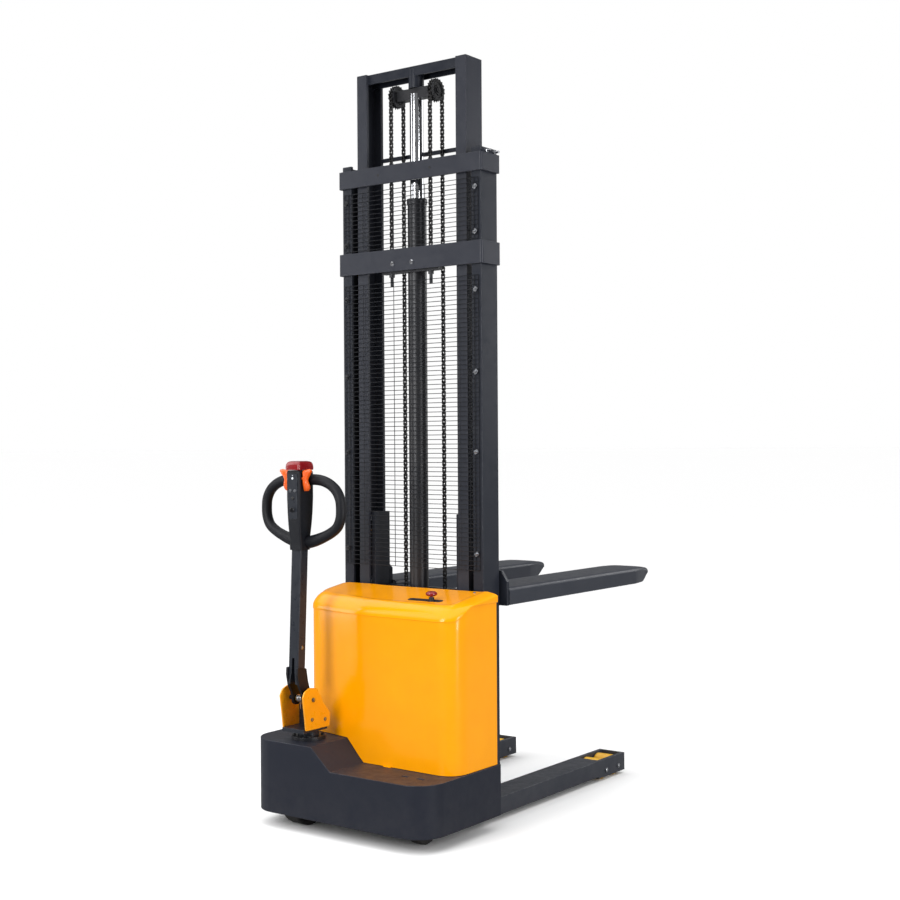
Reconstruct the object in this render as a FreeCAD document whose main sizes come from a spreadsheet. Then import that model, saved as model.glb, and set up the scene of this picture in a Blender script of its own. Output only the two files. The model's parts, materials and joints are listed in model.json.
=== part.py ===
import FreeCAD, Part
import Sketcher
import math
import os
import re
from types import SimpleNamespace

from FreeCAD import Placement, Rotation, Vector

# Walkie straddle stacker: an electric pedestrian stacker with a two-stage mast.
# Millimetres, +Z up, +Y along the forks, +X to the operator's right. Every y below is
# counted from the rear face of the chassis; nodes are then moved by half the overall
# length, so that the frame's origin lies on the floor under the middle of the machine.
# The mast stands partly raised: joint zero is that height.

SIZES = {
    # chassis and hood
    "body_half": 400, "body_depth": 440, "skirt_foot": 53, "skin": 5, "corner_round": 106,
    "deck_top": 232, "block_top": 308, "block_edge": 100, "slope_run": 88,
    "hood_left": 322, "hood_right": 390, "hood_back": 176, "hood_front": 427, "hood_wall": 4,
    "hood_bend": 20, "hood_ease": 8, "hood_recede": 66, "hood_round": 78, "hood_rim": 752,
    "hood_tuck": 20, "cap_shoulder": 800, "cap_top": 838, "cap_reach": 10, "cap_wall": 4,
    "panel_wall": 6, "floor_wall": 8, "slot_left": 222, "slot_pitch": 68, "slot_length": 28,
    "slot_back": 98, "slot_width": 10, "shelf_half": 45, "shelf_wall": 10,
    # chassis contents
    "battery_left": 10, "battery_width": 350, "battery_back": 260, "battery_depth": 160,
    "battery_height": 230, "tank_width": 170, "tank_depth": 150, "tank_height": 150,
    "pump_diameter": 108, "pump_height": 190, "controller_width": 190, "controller_height": 140,
    "controller_depth": 45, "controller_left": 60, "controller_foot": 340, "tank_gap": 30,
    "tank_shift": 10, "well_play": 8, "panel_gap": 2, "floor_lap": 5,
    # outer mast
    "mast_half": 322, "rail_flange": 42, "rail_web": 12, "rail_depth": 100, "mast_back": 449,
    "mast_top": 2416, "band_wall": 12, "upper_band_foot": 2330, "upper_band_height": 66,
    "lower_band_foot": 2000, "lower_band_height": 82, "band_round": 10,
    "foot_beam_height": 40, "foot_beam_reach": 9,
    # inner mast
    "inner_half": 254, "inner_flange": 46, "inner_depth": 99, "inner_back": 456,
    "raised": 338, "inner_top": 2754, "top_beam_depth": 36, "top_beam_wall": 8,
    "tie_height": 14, "tie_drop": 305, "foot_tie_height": 90, "foot_tie_wall": 6,
    "inner_rise": 6, "socket_diameter": 58, "socket_bore": 44, "mast_roller_rise": 50,
    # lifting cylinder and chains
    "ram_back": 495, "barrel_diameter": 70, "barrel_bore": 50, "barrel_top": 2246,
    "gland_height": 20, "gland_diameter": 76, "rod_diameter": 30, "piston_height": 40,
    "crosshead_foot": 2636, "crosshead_height": 40, "crosshead_depth": 34,
    "crosshead_half": 78, "pulley_offset": 91, "pulley_width": 20, "pulley_centre": 2657,
    "pulley_root": 31, "pulley_flange": 43, "chain_width": 14, "chain_depth": 11,
    "anchor_shelf": 1992, "anchor_rod": 12, "anchor_drop": 46, "pin_diameter": 20,
    "anchor_rise": 40, "anchor_reach": 40, "anchor_depth": 24, "anchor_wall": 12,
    "anchor_nut": 21, "anchor_nut_height": 12, "anchor_gap": 1, "barrel_floor": 20,
    "rod_seat": 20, "rod_rise": 70, "pulley_pin_reach": 4, "chain_gap": 0.5, "wrap_room": 60,
    # carriage and forks
    "fork_half": 353, "fork_width": 184, "fork_foot": 776, "fork_depth": 65, "fork_tip": 1690,
    "fork_nose": 118, "fork_taper": 190, "fork_chamfer": 34, "fork_wall": 10,
    "plate_gap": 3, "plate_wall": 14, "plate_top": 900, "plate_dip": 824, "dip_half": 188,
    "dip_slope": 14, "cheek_gap": 2, "cheek_wall": 16,
    "carriage_height": 330, "roller_play": 1, "roller_width": 28, "stub_diameter": 30,
    "roller_gap": 2, "roller_inset": 48, "cheek_inset": 14, "stub_gap": 1.5,
    "clevis_width": 30, "clevis_height": 34, "bar_wall": 12,
    "plate_inset": 3, "plate_slope": 40, "plate_slope_run": 26, "fork_nose_wall": 20,
    # straddle legs and their wheels
    "leg_outer": 327, "leg_inner": 209, "leg_foot": 22, "leg_top": 84, "slot_gap": 4,
    "cheek_thick": 16, "cheek_foot": 14, "load_diameter": 80,
    "load_width": 80, "load_axle": 16, "load_back": 1298, "load_pitch": 96, "leg_end": 9,
    "cheek_lead": 14, "cheek_drop": 10, "leg_wall": 6, "leg_plug": 12, "axle_reach": 3,
    # steering column, drive wheel and castor
    "column_left": 212, "column_back": 114, "drive_diameter": 200, "drive_width": 65,
    "drive_shift": 15, "drive_axle": 30, "turntable_diameter": 170, "turntable_foot": 225,
    "turntable_wall": 18, "post_diameter": 76, "ring_diameter": 122, "ring_wall": 12,
    "castor_left": 275, "castor_back": 115, "castor_diameter": 130, "castor_width": 45,
    "castor_trail": 34, "castor_axle": 12, "castor_room": 12, "castor_stem": 50,
    "castor_play": 0.5, "castor_cheek": 6, "castor_gap": 3, "castor_bridge": 26,
    "castor_bridge_wall": 8, "castor_cheek_half": 20, "castor_cheek_drop": 18,
    "yoke_offset": 20, "yoke_wall": 14, "yoke_depth": 90, "yoke_drop": 40,
    "motor_diameter": 108, "motor_length": 56, "ring_play": 0.6,
    # tiller
    "pivot_back": 77, "pivot_height": 455, "pivot_diameter": 16, "bracket_half": 57,
    "bracket_wall": 6, "arm_width": 45, "arm_depth": 40, "arm_wall": 4, "arm_foot": 500,
    "arm_back": 32, "arm_lean": 23, "arm_plug": 40, "arm_cap": 8, "eye_diameter": 46,
    "eye_wall": 10, "eye_lap": 4, "eye_rise": 50, "tilt_pin_reach": 3,
    "bracket_foot": 340, "bracket_back": 32, "bracket_depth": 126, "bracket_floor": 14,
    "stand_shift": 44, "stand_wall": 10, "stand_height": 70, "coil_wire": 4.8,
    "coil_pitch": 5.5, "coil_gap": 0.3,
    "head_width": 62, "head_back": 40, "head_depth": 76, "head_foot": 985, "head_top": 1268,
    "loop_half": 183, "loop_diameter": 34, "loop_top": 1236, "loop_foot": 1004,
    "loop_back": 94, "throttle_back": 58, "throttle_height": 1240, "throttle_axle": 12,
    "throttle_wall": 26, "throttle_depth": 18, "throttle_low": 45, "throttle_high": 30,
    "throttle_gap": 1, "belly_height": 24, "belly_gap": 1, "belly_inset": 3,
    "belly_travel": 8, "plunger_diameter": 14, "plunger_reach": 7, "plunger_seat": 16,
    "button_diameter": 13, "button_height": 1196, "button_offset": 11, "button_play": 0.4,
    "button_stand": 4, "button_seat": 8, "button_length": 8, "horn_drop": 26,
    "key_height": 1128, "key_diameter": 16, "key_stand": 2, "key_length": 13, "key_seat": 12,
    "key_wall": 3, "key_reach": 18, "fit": 0.05,
    # guard, emergency stop, fasteners
    "wire": 2.6, "wire_pitch": 16.7, "guard_half": 312, "guard_foot": 906, "upright_pitch": 147,
    "guard_gap": 7, "guard_drop": 38, "guard_play": 6, "guard_edge_pitch": 20,
    "clip_inset": 11, "clip_bolt": 8, "clip_depth": 12, "clip_seat": 10, "clip_pad": 14,
    "estop_left": 227, "estop_back": 270, "estop_diameter": 41, "estop_height": 14,
    "estop_rise": 22, "estop_stand": 4, "estop_gap": 10, "collar_diameter": 24,
    "collar_drop": 30, "collar_play": 0.4, "stop_stem": 12, "stop_stem_drop": 36,
    "bolt_diameter": 12, "band_bolt_left": 72, "band_bolt_right": 18, "band_bolt_rise": 28,
    "dome_diameter": 18, "dome_height": 6, "stop_bolt_back": 30, "stop_bolt_pitch": 50,
    "stop_bolt_drop": 12, "stop_bolt_length": 26, "ring_bolt_circle": 102, "ring_bolt": 11,
    "ring_bolt_height": 7,
}

doc = FreeCAD.newDocument("walkie_stacker")
sheet = doc.addObject("Spreadsheet::Sheet", "sizes")
for row, (alias, number) in enumerate(SIZES.items(), start=1):
    sheet.set(f"A{row}", alias)
    sheet.set(f"B{row}", str(number))
    sheet.setAlias(f"B{row}", alias)
doc.recompute()
size = SimpleNamespace(**{alias: float(sheet.get(alias)) for alias in SIZES})

WORD = re.compile(r"[A-Za-z_]\w*")
TO_MIDDLE = "-fork_tip / 2"
nodes = []


# ---------------------------------------------------------------- helpers


def link(text):
    """Write an expression so that each size's name points at its cell."""
    return WORD.sub(lambda m: "sizes." + m.group() if m.group() in SIZES else m.group(), str(text))


def bind(thing, prop, text):
    thing.setExpression(prop, link(text))


def put(thing, x="0", y="0", z="0"):
    for axis, text in zip("xyz", (x, y, z)):
        bind(thing, "Placement.Base." + axis, text)
    thing.addProperty("App::PropertyString", "BackText", "Base")
    thing.BackText = str(y)
    return thing


def block(name, x, y, z):
    """A box from (start, length) on each axis."""
    box = doc.addObject("Part::Box", name)
    for prop, span in zip(("Length", "Width", "Height"), (x, y, z)):
        bind(box, prop, span[1])
    return put(box, x[0], y[0], z[0])


TURN = {
    "x": Rotation(Vector(0, 1, 0), 90),
    "y": Rotation(Vector(1, 0, 0), -90),
    "z": Rotation(),
}


def rod(name, axis, x, y, z, diameter, length):
    """A cylinder that starts at (x, y, z) and runs along +axis."""
    bar = doc.addObject("Part::Cylinder", name)
    bar.Placement = Placement(Vector(), TURN[axis])
    bind(bar, "Radius", f"({diameter}) / 2")
    bind(bar, "Height", length)
    return put(bar, x, y, z)


def fuse(name, *things):
    joined = doc.addObject("Part::MultiFuse", name)
    joined.Shapes = list(things)
    joined.Refine = True
    return joined


def group(name, *things):
    """Separate solids kept side by side in one node."""
    bundle = doc.addObject("Part::Compound", name)
    bundle.Links = list(things)
    return bundle


def cut(name, base, *tools):
    less = doc.addObject("Part::Cut", name)
    less.Base = base
    less.Tool = tools[0] if len(tools) == 1 else fuse(name + "_tools", *tools)
    less.Refine = True
    return less


def common(name, first, second):
    both = doc.addObject("Part::Common", name)
    both.Base, both.Tool = first, second
    both.Refine = True
    return both


def sketch_on(body, name, plane, offset):
    drawing = body.newObject("Sketcher::SketchObject", name)
    support = next(f for f in body.Origin.OriginFeatures if f.Role == plane + "_Plane")
    drawing.AttachmentSupport = [(support, "")]
    drawing.MapMode = "FlatFace"
    bind(drawing, "AttachmentOffset.Base.z", offset)
    return drawing


def fix_point(drawing, index, corner, tag, across, up):
    """Hold one point of a sketch at sizes counted from the sketch's origin."""
    for letter, kind, text in (("h", "DistanceX", across), ("v", "DistanceY", up)):
        drawing.addConstraint(Sketcher.Constraint(kind, -1, 1, index, corner, 1.0))
        place = len(drawing.Constraints) - 1
        drawing.renameConstraint(place, f"{tag}_{letter}")
        bind(drawing, f"Constraints.{tag}_{letter}", text)


def outline(drawing, points, guess):
    """A closed outline of straight sides, each corner held by its own sizes."""
    count = len(points)
    for index in range(count):
        start, end = guess[index], guess[(index + 1) % count]
        drawing.addGeometry(Part.LineSegment(Vector(*start, 0), Vector(*end, 0)), False)
    for index in range(count):
        after = (index + 1) % count
        drawing.addConstraint(Sketcher.Constraint("Coincident", index, 2, after, 1))
    for index, (across, up) in enumerate(points):
        fix_point(drawing, index, 1, f"corner{index}", across, up)


def reckon(text):
    """The value of an expression, from a cell that the sheet works out."""
    sheet.set("D1", f"={text}")
    sheet.recompute()
    found = sheet.get("D1")
    sheet.clear("D1")
    return float(found)


def plate(name, plane, points, start, length):
    """A body padded from an outline; it runs from start along the plane's own axis."""
    body = doc.addObject("PartDesign::Body", name)
    backwards = plane == "XZ"
    offset = f"-(({start}) + ({length}))" if backwards else start
    drawing = sketch_on(body, name + "_sketch", plane, offset)
    outline(drawing, points, [(reckon(across), reckon(up)) for across, up in points])
    pad = body.newObject("PartDesign::Pad", name + "_pad")
    pad.Profile = drawing
    bind(pad, "Length", length)
    body.Tip = pad
    doc.recompute()
    return body


def dress(body, kind, name, test, prop, text):
    """A fillet or chamfer on the edges of the body's tip that pass a test."""
    tip = body.Tip
    edges = [f"Edge{n}" for n, edge in enumerate(tip.Shape.Edges, start=1) if test(edge)]
    feature = body.newObject("PartDesign::" + kind, name)
    feature.Base = (tip, edges)
    bind(feature, prop, text)
    body.Tip = feature
    doc.recompute()
    return body


def round_off(body, name, test, radius):
    return dress(body, "Fillet", name, test, "Radius", radius)


def bevel(body, name, test, width):
    return dress(body, "Chamfer", name, test, "Size", width)


def turned(name, points, x, y, z):
    """A body revolved about a line parallel to X; points are (along x, radius)."""
    body = doc.addObject("PartDesign::Body", name)
    drawing = sketch_on(body, name + "_sketch", "XZ", "0")
    outline(drawing, points, [(reckon(across), reckon(up)) for across, up in points])
    spin = body.newObject("PartDesign::Revolution", name + "_spin")
    spin.Profile = drawing
    spin.ReferenceAxis = (drawing, ["H_Axis"])
    spin.Angle = 360
    body.Tip = spin
    doc.recompute()
    return put(body, x, y, z)


def shaped(name, shape):
    """A feature whose shape is worked out from the sheet's values."""
    feature = doc.addObject("Part::Feature", name)
    feature.Shape = shape
    return feature


def node(label, thing):
    """Name a finished sub-part and move it from the rear face to the frame's origin."""
    thing.Label = label
    back = getattr(thing, "BackText", "0")
    bind(thing, "Placement.Base.y", f"({back}) + ({TO_MIDDLE})")
    nodes.append((label, thing))


def upright(edge):
    ends = [v.Point for v in edge.Vertexes]
    return len(ends) == 2 and (ends[0] - ends[1]).cross(Vector(0, 0, 1)).Length < 1e-6


def sided(side, inner, outer):
    """The (start, length) along x of a piece between two distances from the middle."""
    start = inner if side == "right" else f"-({outer})"
    return start, f"({outer}) - ({inner})"


SIDES = ("left", "right")
CARRIAGE_FOOT = "fork_foot - 2"
LOW_ROLLER = f"{CARRIAGE_FOOT} + roller_inset"
HIGH_ROLLER = f"{CARRIAGE_FOOT} + carriage_height - roller_inset"
MAST_ROLLER = "leg_top + inner_rise + raised + mast_roller_rise"
SIGN = {"left": "-", "right": ""}
PLATE_BACK = "inner_back + inner_depth + plate_gap"
CLEVIS_FOOT = "plate_dip - clevis_height"
SLOT_BACK = "load_back - load_diameter / 2 - slot_gap"
SLOT_FRONT = "load_back + load_pitch + load_diameter / 2 + slot_gap"
LEG_TIP = f"{SLOT_FRONT} + leg_end"
# Each corner of the tiller's side brackets, forward of the tilt pin and above it.
BRACKET = ((-53, 13), (-43, 33), (-15, 45), (21, 39), (41, 7), (53, -15), (90, -57),
           (86, -105), (-37, -105), (-43, -55))

# ---------------------------------------------------------------- chassis


def body_form(name, inset, foot, top):
    """The chassis plan, rounded at its two rear corners, as a solid."""
    half, front = f"body_half - {inset}", f"body_depth - {inset}"
    corners = [(f"-({half})", inset), (half, inset), (half, front), (f"-({half})", front)]
    body = plate(name, "XY", corners, foot, f"({top}) - ({foot})")
    rear = reckon(inset)
    at_rear = lambda edge: upright(edge) and abs(edge.Vertexes[0].Y - rear) < 1e-6
    return round_off(body, name + "_corners", at_rear, f"corner_round - {inset}")


def deck_form(name, drop):
    """The side view of the deck: raised block, slope, low deck, lowered by drop."""
    foot, reach = "skirt_foot - 1", "body_half + 1"
    points = [
        (f"-({reach})", foot), (reach, foot), (reach, f"deck_top - {drop}"),
        ("slope_run - block_edge", f"deck_top - {drop}"),
        ("-block_edge", f"block_top - {drop}"), (f"-({reach})", f"block_top - {drop}"),
    ]
    return plate(name, "XZ", points, "-1", "body_depth + 2")


def chassis():
    outer = common("skirt_outer", body_form("plan_outer", "0", "skirt_foot", "block_top"),
                   deck_form("deck_outer", "0"))
    inner = common("skirt_inner", body_form("plan_inner", "skin", "skirt_foot - 1", "block_top"),
                   deck_form("deck_inner", "skin"))
    bay = block("bay", ("-(hood_left - hood_wall)", "hood_left + hood_right - 2 * hood_wall"),
                ("hood_back + hood_recede + 3 * skin",
                 "body_depth - hood_back - hood_recede - 4 * skin"),
                ("deck_top - 2 * skin", "block_top"))
    well = rod("column_well", "z", "-column_left", "column_back", "deck_top",
               "post_diameter + well_play", "block_top")
    slots = [block(f"deck_slot_{n}", (f"slot_left + {n} * slot_pitch", "slot_length"),
                   ("slot_back", "slot_width"), ("deck_top - 2 * skin", "4 * skin"))
             for n in range(2)]
    shelf = block("castor_shelf", ("castor_left - shelf_half", "2 * shelf_half"),
                  ("skin", "battery_back - 2 * skin"),
                  ("deck_top - skin - shelf_wall", "shelf_wall"))
    skirt = cut("skirt", outer, inner, bay, well, *slots)
    node("chassis_shell", fuse("chassis", skirt, shelf))

    half = "body_half - skin"
    floor = block("floor", (f"-({half})", f"2 * ({half})"),
                  ("battery_back - floor_lap", "body_depth - skin - battery_back + floor_lap"),
                  ("skirt_foot", "floor_wall"))
    panel = block("panel", ("-(hood_left - hood_wall)", "hood_left + hood_right - 2 * hood_wall"),
                  ("hood_front + panel_gap", "panel_wall"), ("skirt_foot + floor_wall",
                                                     "hood_rim - skirt_foot - floor_wall"))
    node("base_plate", fuse("base", floor, panel))


def hood_form(name, inset, foot, top):
    """The hood's plan as a solid: its rear face bends away from the tiller on the left."""
    back = f"hood_back + {inset}"
    left, right = f"-(hood_left - {inset})", f"hood_right - {inset}"
    corners = [(left, f"{back} + hood_recede"), ("-hood_bend", f"{back} + hood_ease"),
               (right, back), (right, "hood_front"), (left, "hood_front")]
    body = plate(name, "XY", corners, foot, f"({top}) - ({foot})")
    far = reckon("hood_front")
    at_rear = lambda edge: upright(edge) and edge.Vertexes[0].Y < far - 1
    return round_off(body, name + "_corners", at_rear, f"hood_round - {inset}")


def hood():
    outer = hood_form("hood_outer", "0", "deck_top - 1", "hood_rim + hood_tuck")
    inner = hood_form("hood_inner", "hood_wall", "deck_top - 2", "hood_rim + hood_tuck + 1")
    node("hood_shell", cut("hood", outer, inner, deck_form("hood_seat", "0")))

    def crown(name, drop):
        """The cap's side view, sloping up towards the mast."""
        back = "hood_back - cap_reach - 1"
        points = [(back, f"hood_rim - {drop}"), ("hood_front", f"hood_rim - {drop}"),
                  ("hood_front", f"cap_top - {drop}"), (back, f"cap_shoulder - {drop}")]
        reach = "cap_reach + 1"
        return plate(name, "YZ", points, f"-(hood_left + {reach})",
                     f"hood_left + hood_right + 2 * ({reach})")

    outside = common("cap_outside", hood_form("cap_outer", "-cap_reach", "hood_rim", "cap_top"),
                     crown("cap_crown", "0"))
    inside = common("cap_inside", hood_form("cap_inner", "0", "hood_rim - 1", "cap_top"),
                    crown("cap_hollow", "cap_wall"))
    stop = rod("estop_hole", "z", "estop_left", "estop_back", "hood_rim",
               "collar_diameter + collar_play", "2 * (cap_top - hood_rim)")
    node("hood_cap", cut("cap", outside, inside, stop))


def contents():
    on_floor = "skirt_foot + floor_wall"
    node("battery", block("battery_case", ("battery_left", "battery_width"),
                          ("battery_back", "battery_depth"), (on_floor, "battery_height")))
    tank = block("tank", ("-hood_left + tank_gap", "tank_width"),
                 ("battery_back + tank_shift", "tank_depth"),
                 (on_floor, "tank_height"))
    motor = rod("pump_motor", "z", "-hood_left + tank_gap + tank_width / 2",
                "battery_back + tank_shift + tank_depth / 2", f"{on_floor} + tank_height",
                "pump_diameter", "pump_height")
    node("pump_unit", fuse("pump", tank, motor))
    node("motor_controller", block("controller", ("controller_left", "controller_width"),
                                   ("hood_front + panel_gap - controller_depth",
                                    "controller_depth"),
                                   ("controller_foot", "controller_height")))


# ---------------------------------------------------------------- mast


def channel(name, side, outer, flange, web, back, depth, foot, top):
    """A C-section rail, its web outwards and its mouth towards the middle."""
    s = SIGN[side]
    far, near, inside = f"{s}({outer})", f"{s}(({outer}) - ({flange}))", f"{s}(({outer}) - ({web}))"
    points = [(far, back), (near, back), (near, f"{back} + {web}"), (inside, f"{back} + {web}"),
              (inside, f"{back} + {depth} - {web}"), (near, f"{back} + {depth} - {web}"),
              (near, f"{back} + {depth}"), (far, f"{back} + {depth}")]
    return plate(name, "XY", points, foot, f"({top}) - ({foot})")


def outer_mast():
    for side in SIDES:
        node(f"outer_rail_{side}", channel(f"outer_{side}", side, "mast_half", "rail_flange",
                                           "rail_web", "mast_back", "rail_depth", "leg_top",
                                           "mast_top"))
    for label, foot, height in (("mast_band_upper", "upper_band_foot", "upper_band_height"),
                                ("mast_band_lower", "lower_band_foot", "lower_band_height")):
        near, far = "mast_half", "mast_half + band_wall"
        back, front = "mast_back - band_wall", "mast_back + rail_depth"
        points = [(f"-({far})", back), (far, back), (far, front), (near, front),
                  (near, "mast_back"), (f"-{near}", "mast_back"), (f"-{near}", front),
                  (f"-({far})", front)]
        band = plate(label + "_form", "XY", points, foot, height)
        rear, limit = reckon(back), reckon(far)
        bend = lambda edge: (upright(edge) and abs(edge.Vertexes[0].Y - rear) < 1e-6
                             and abs(abs(edge.Vertexes[0].X) - limit) < 1e-6)
        node(label, round_off(band, label + "_bends", bend, "band_round"))

    beam = block("base_beam", ("-leg_inner", "2 * leg_inner"),
                 ("body_depth", "rail_depth + foot_beam_reach"),
                 ("leg_foot", "foot_beam_height"))
    node("mast_foot", beam)

    ram = ("0", "ram_back")
    tube = rod("tube", "z", *ram, "leg_foot + foot_beam_height", "barrel_diameter",
               "barrel_top - leg_foot - foot_beam_height")
    tube_bore = rod("tube_bore", "z", *ram, "leg_foot + foot_beam_height + barrel_floor",
                    "barrel_bore", "barrel_top")
    gland = rod("gland_ring", "z", *ram, "barrel_top", "gland_diameter", "gland_height")
    gland_bore = rod("gland_bore", "z", *ram, "barrel_top - 1", "rod_diameter + 2 * fit",
                     "gland_height + 2")
    node("lift_cylinder", group("cylinder", cut("barrel", tube, tube_bore),
                                cut("gland", gland, gland_bore)))

    shelf = block("shelf", ("-(pulley_offset + anchor_reach)",
                             "2 * (pulley_offset + anchor_reach)"),
                  ("mast_back", "anchor_depth"), ("anchor_shelf", "anchor_wall"))
    rods = []
    for side in SIDES:
        x = f"{SIGN[side]}pulley_offset"
        y = "ram_back - pulley_root - chain_depth / 2"
        rods.append(rod(f"anchor_rod_{side}", "z", x, y, "anchor_shelf - anchor_drop",
                        "anchor_rod", "anchor_drop + anchor_rise"))
        rods.append(rod(f"anchor_nut_{side}", "z", x, y,
                        "anchor_shelf - anchor_nut_height", "anchor_nut", "anchor_nut_height"))
    clear = rod("anchor_clear", "z", "0", "ram_back", "anchor_shelf - 1",
                "barrel_diameter + anchor_gap", "anchor_wall + 2")
    node("chain_anchors", cut("anchors", fuse("anchor_solid", shelf, *rods), clear))


def guard_wires(foot, top):
    """A welded mesh: a flat lattice of level wires and a few uprights."""
    thick, half, back = size.wire, size.guard_half, size.mast_back - size.guard_gap
    levels = int((top - foot - thick) / size.wire_pitch)
    inner = [(n - 1.5) * size.upright_pitch for n in range(4)]
    step = size.guard_edge_pitch
    edge = [sign * (half - gap) for gap in (thick / 2, step, 2 * step) for sign in (-1, 1)]
    uprights = sorted(inner + edge)

    def frame(left, right, low, high):
        corners = [Vector(x, back, z) for x, z in ((left, low), (right, low), (right, high),
                                                   (left, high), (left, low))]
        return Part.makePolygon(corners)

    wires = [frame(-half, half, foot, foot + levels * size.wire_pitch + thick)]
    for level in range(levels):
        low = foot + level * size.wire_pitch + thick
        for left, right in zip(uprights, uprights[1:]):
            wires.append(frame(left + thick / 2, right - thick / 2, low,
                               low + size.wire_pitch - thick))
    return Part.makeFace(wires, "Part::FaceMakerBullseye").extrude(Vector(0, thick, 0))


def guards():
    lower_top = size.lower_band_foot - size.guard_drop
    upper_foot = size.lower_band_foot + size.lower_band_height + size.guard_play
    upper_top = size.upper_band_foot - size.guard_play
    node("guard_lower", shaped("wires_lower", guard_wires(size.guard_foot, lower_top)))
    node("guard_upper", shaped("wires_upper", guard_wires(upper_foot, upper_top)))
    clips = []
    lower_cells = int((lower_top - size.guard_foot - size.wire) / size.wire_pitch)
    upper_cells = int((upper_top - upper_foot - size.wire) / size.wire_pitch)
    places = [(size.guard_foot, n) for n in (3, 25, 42, lower_cells - 3)]
    places += [(upper_foot, n) for n in (1, upper_cells - 2)]
    heights = [foot + (cell + 0.5) * size.wire_pitch + size.wire / 2 for foot, cell in places]
    for height in heights:
        for sign in (-1, 1):
            x = sign * (size.guard_half - size.clip_inset)
            plate_back = size.mast_back - size.guard_gap + size.wire
            bolt = Part.makeCylinder(size.clip_bolt / 2, size.clip_depth,
                                     Vector(x, plate_back - size.clip_seat, height),
                                     Vector(0, 1, 0))
            pad = Part.makeBox(size.clip_pad, size.mast_back - plate_back, size.clip_pad,
                               Vector(x - size.clip_pad / 2, plate_back,
                                      height - size.clip_pad / 2))
            clips.append(bolt.fuse(pad))
    return shaped("clips", Part.makeCompound(clips))


def inner_mast():
    foot = "leg_top + inner_rise + raised"
    for side in SIDES:
        rail = channel(f"inner_{side}", side, "inner_half", "inner_flange", "rail_web",
                       "inner_back", "inner_depth", foot, "inner_top")
        start, length = sided(side, "inner_half", "inner_half + 2 * roller_gap + roller_width")
        stub = rod(f"mast_stub_{side}", "x", start, "mast_back + rail_depth / 2", MAST_ROLLER,
                   "stub_diameter", length)
        node(f"inner_rail_{side}", fuse(f"inner_rail_form_{side}", rail, stub))
    clear = "inner_half - rail_web"
    points = [("inner_back + rail_web", "inner_top - top_beam_depth"),
              ("inner_back + rail_web", "inner_top"),
              ("inner_back + inner_depth - rail_web", "inner_top"),
              ("inner_back + inner_depth - rail_web", "inner_top - top_beam_depth"),
              ("inner_back + inner_depth - rail_web - top_beam_wall",
               "inner_top - top_beam_depth"),
              ("inner_back + inner_depth - rail_web - top_beam_wall",
               "inner_top - top_beam_wall"),
              ("inner_back + rail_web + top_beam_wall", "inner_top - top_beam_wall"),
              ("inner_back + rail_web + top_beam_wall", "inner_top - top_beam_depth")]
    beam = plate("top_beam", "YZ", points, f"-({clear})", f"2 * ({clear})")
    socket = cut("socket", rod("socket_tube", "z", "0", "ram_back",
                               "crosshead_foot + crosshead_height", "socket_diameter",
                               "inner_top - top_beam_wall - crosshead_foot - crosshead_height"),
                 rod("socket_bore", "z", "0", "ram_back", "crosshead_foot", "socket_bore",
                     "inner_top - top_beam_wall - crosshead_foot"))
    node("inner_top_beam", fuse("top_beam_form", beam, socket))
    across = ("-(inner_half - inner_flange)", "2 * (inner_half - inner_flange)")
    upper = block("upper_tie", across, ("inner_back + inner_depth - rail_web", "rail_web"),
                  ("inner_top - tie_drop - tie_height", "tie_height"))
    lower = block("foot_tie", ("-inner_half", "2 * inner_half"),
                  ("inner_back - foot_tie_wall", "foot_tie_wall"), (foot, "foot_tie_height"))
    node("inner_mast_ties", group("ties", upper, lower))

    head = block("crosshead_bar", ("-crosshead_half", "2 * crosshead_half"),
                 ("ram_back - crosshead_depth / 2", "crosshead_depth"),
                 ("crosshead_foot", "crosshead_height"))
    reach = "pulley_offset + pulley_width / 2 + pulley_pin_reach"
    pin = rod("pulley_pin", "x", f"-({reach})", "ram_back", "pulley_centre", "pin_diameter",
              f"2 * ({reach})")
    seat = rod("rod_seat", "z", "0", "ram_back", "crosshead_foot - 1", "rod_diameter",
               "rod_seat + 1")
    node("chain_crosshead", cut("crosshead", fuse("crosshead_solid", head, pin), seat))

    rod_foot = "leg_foot + rod_rise + raised"
    shaft = rod("shaft", "z", "0", "ram_back", rod_foot, "rod_diameter",
                f"crosshead_foot + rod_seat - ({rod_foot})")
    piston = rod("piston", "z", "0", "ram_back", rod_foot, "barrel_bore - 2 * fit",
                 "piston_height")
    node("piston_rod", fuse("ram", shaft, piston))


def ring_profile(inner, outer, half, crown="3"):
    """Half section of a wheel with a bevelled tread: (along x, radius) points."""
    return [(f"-({half})", inner), (half, inner), (half, f"({outer}) - {crown}"),
            (f"({half}) - {crown}", outer), (f"-({half}) + {crown}", outer),
            (f"-({half})", f"({outer}) - {crown}")]


def rollers():
    """Pairs of guide rollers; each pair turns on the same line across the mast."""
    def pair(label, middle, radius, y, z):
        made = []
        for side in SIDES:
            points = ring_profile("stub_diameter / 2 + fit", radius, "roller_width / 2", "2")
            made.append(turned(f"{label}_{side}", points, f"{SIGN[side]}({middle})", y, z))
        node(label, group(label + "_pair", *made))

    inner_y = "inner_back + inner_depth / 2"
    carriage_middle = "inner_half - rail_web - roller_gap - roller_width / 2"
    inner_radius = "(inner_depth - 2 * rail_web - roller_play) / 2"
    outer_radius = "(rail_depth - 2 * rail_web - 2 * roller_play) / 2"
    pair("carriage_rollers_lower", carriage_middle, inner_radius, inner_y, LOW_ROLLER)
    pair("carriage_rollers_upper", carriage_middle, inner_radius, inner_y, HIGH_ROLLER)
    pair("mast_rollers", "inner_half + roller_gap + roller_width / 2", outer_radius,
         "mast_back + rail_depth / 2", MAST_ROLLER)


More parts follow.
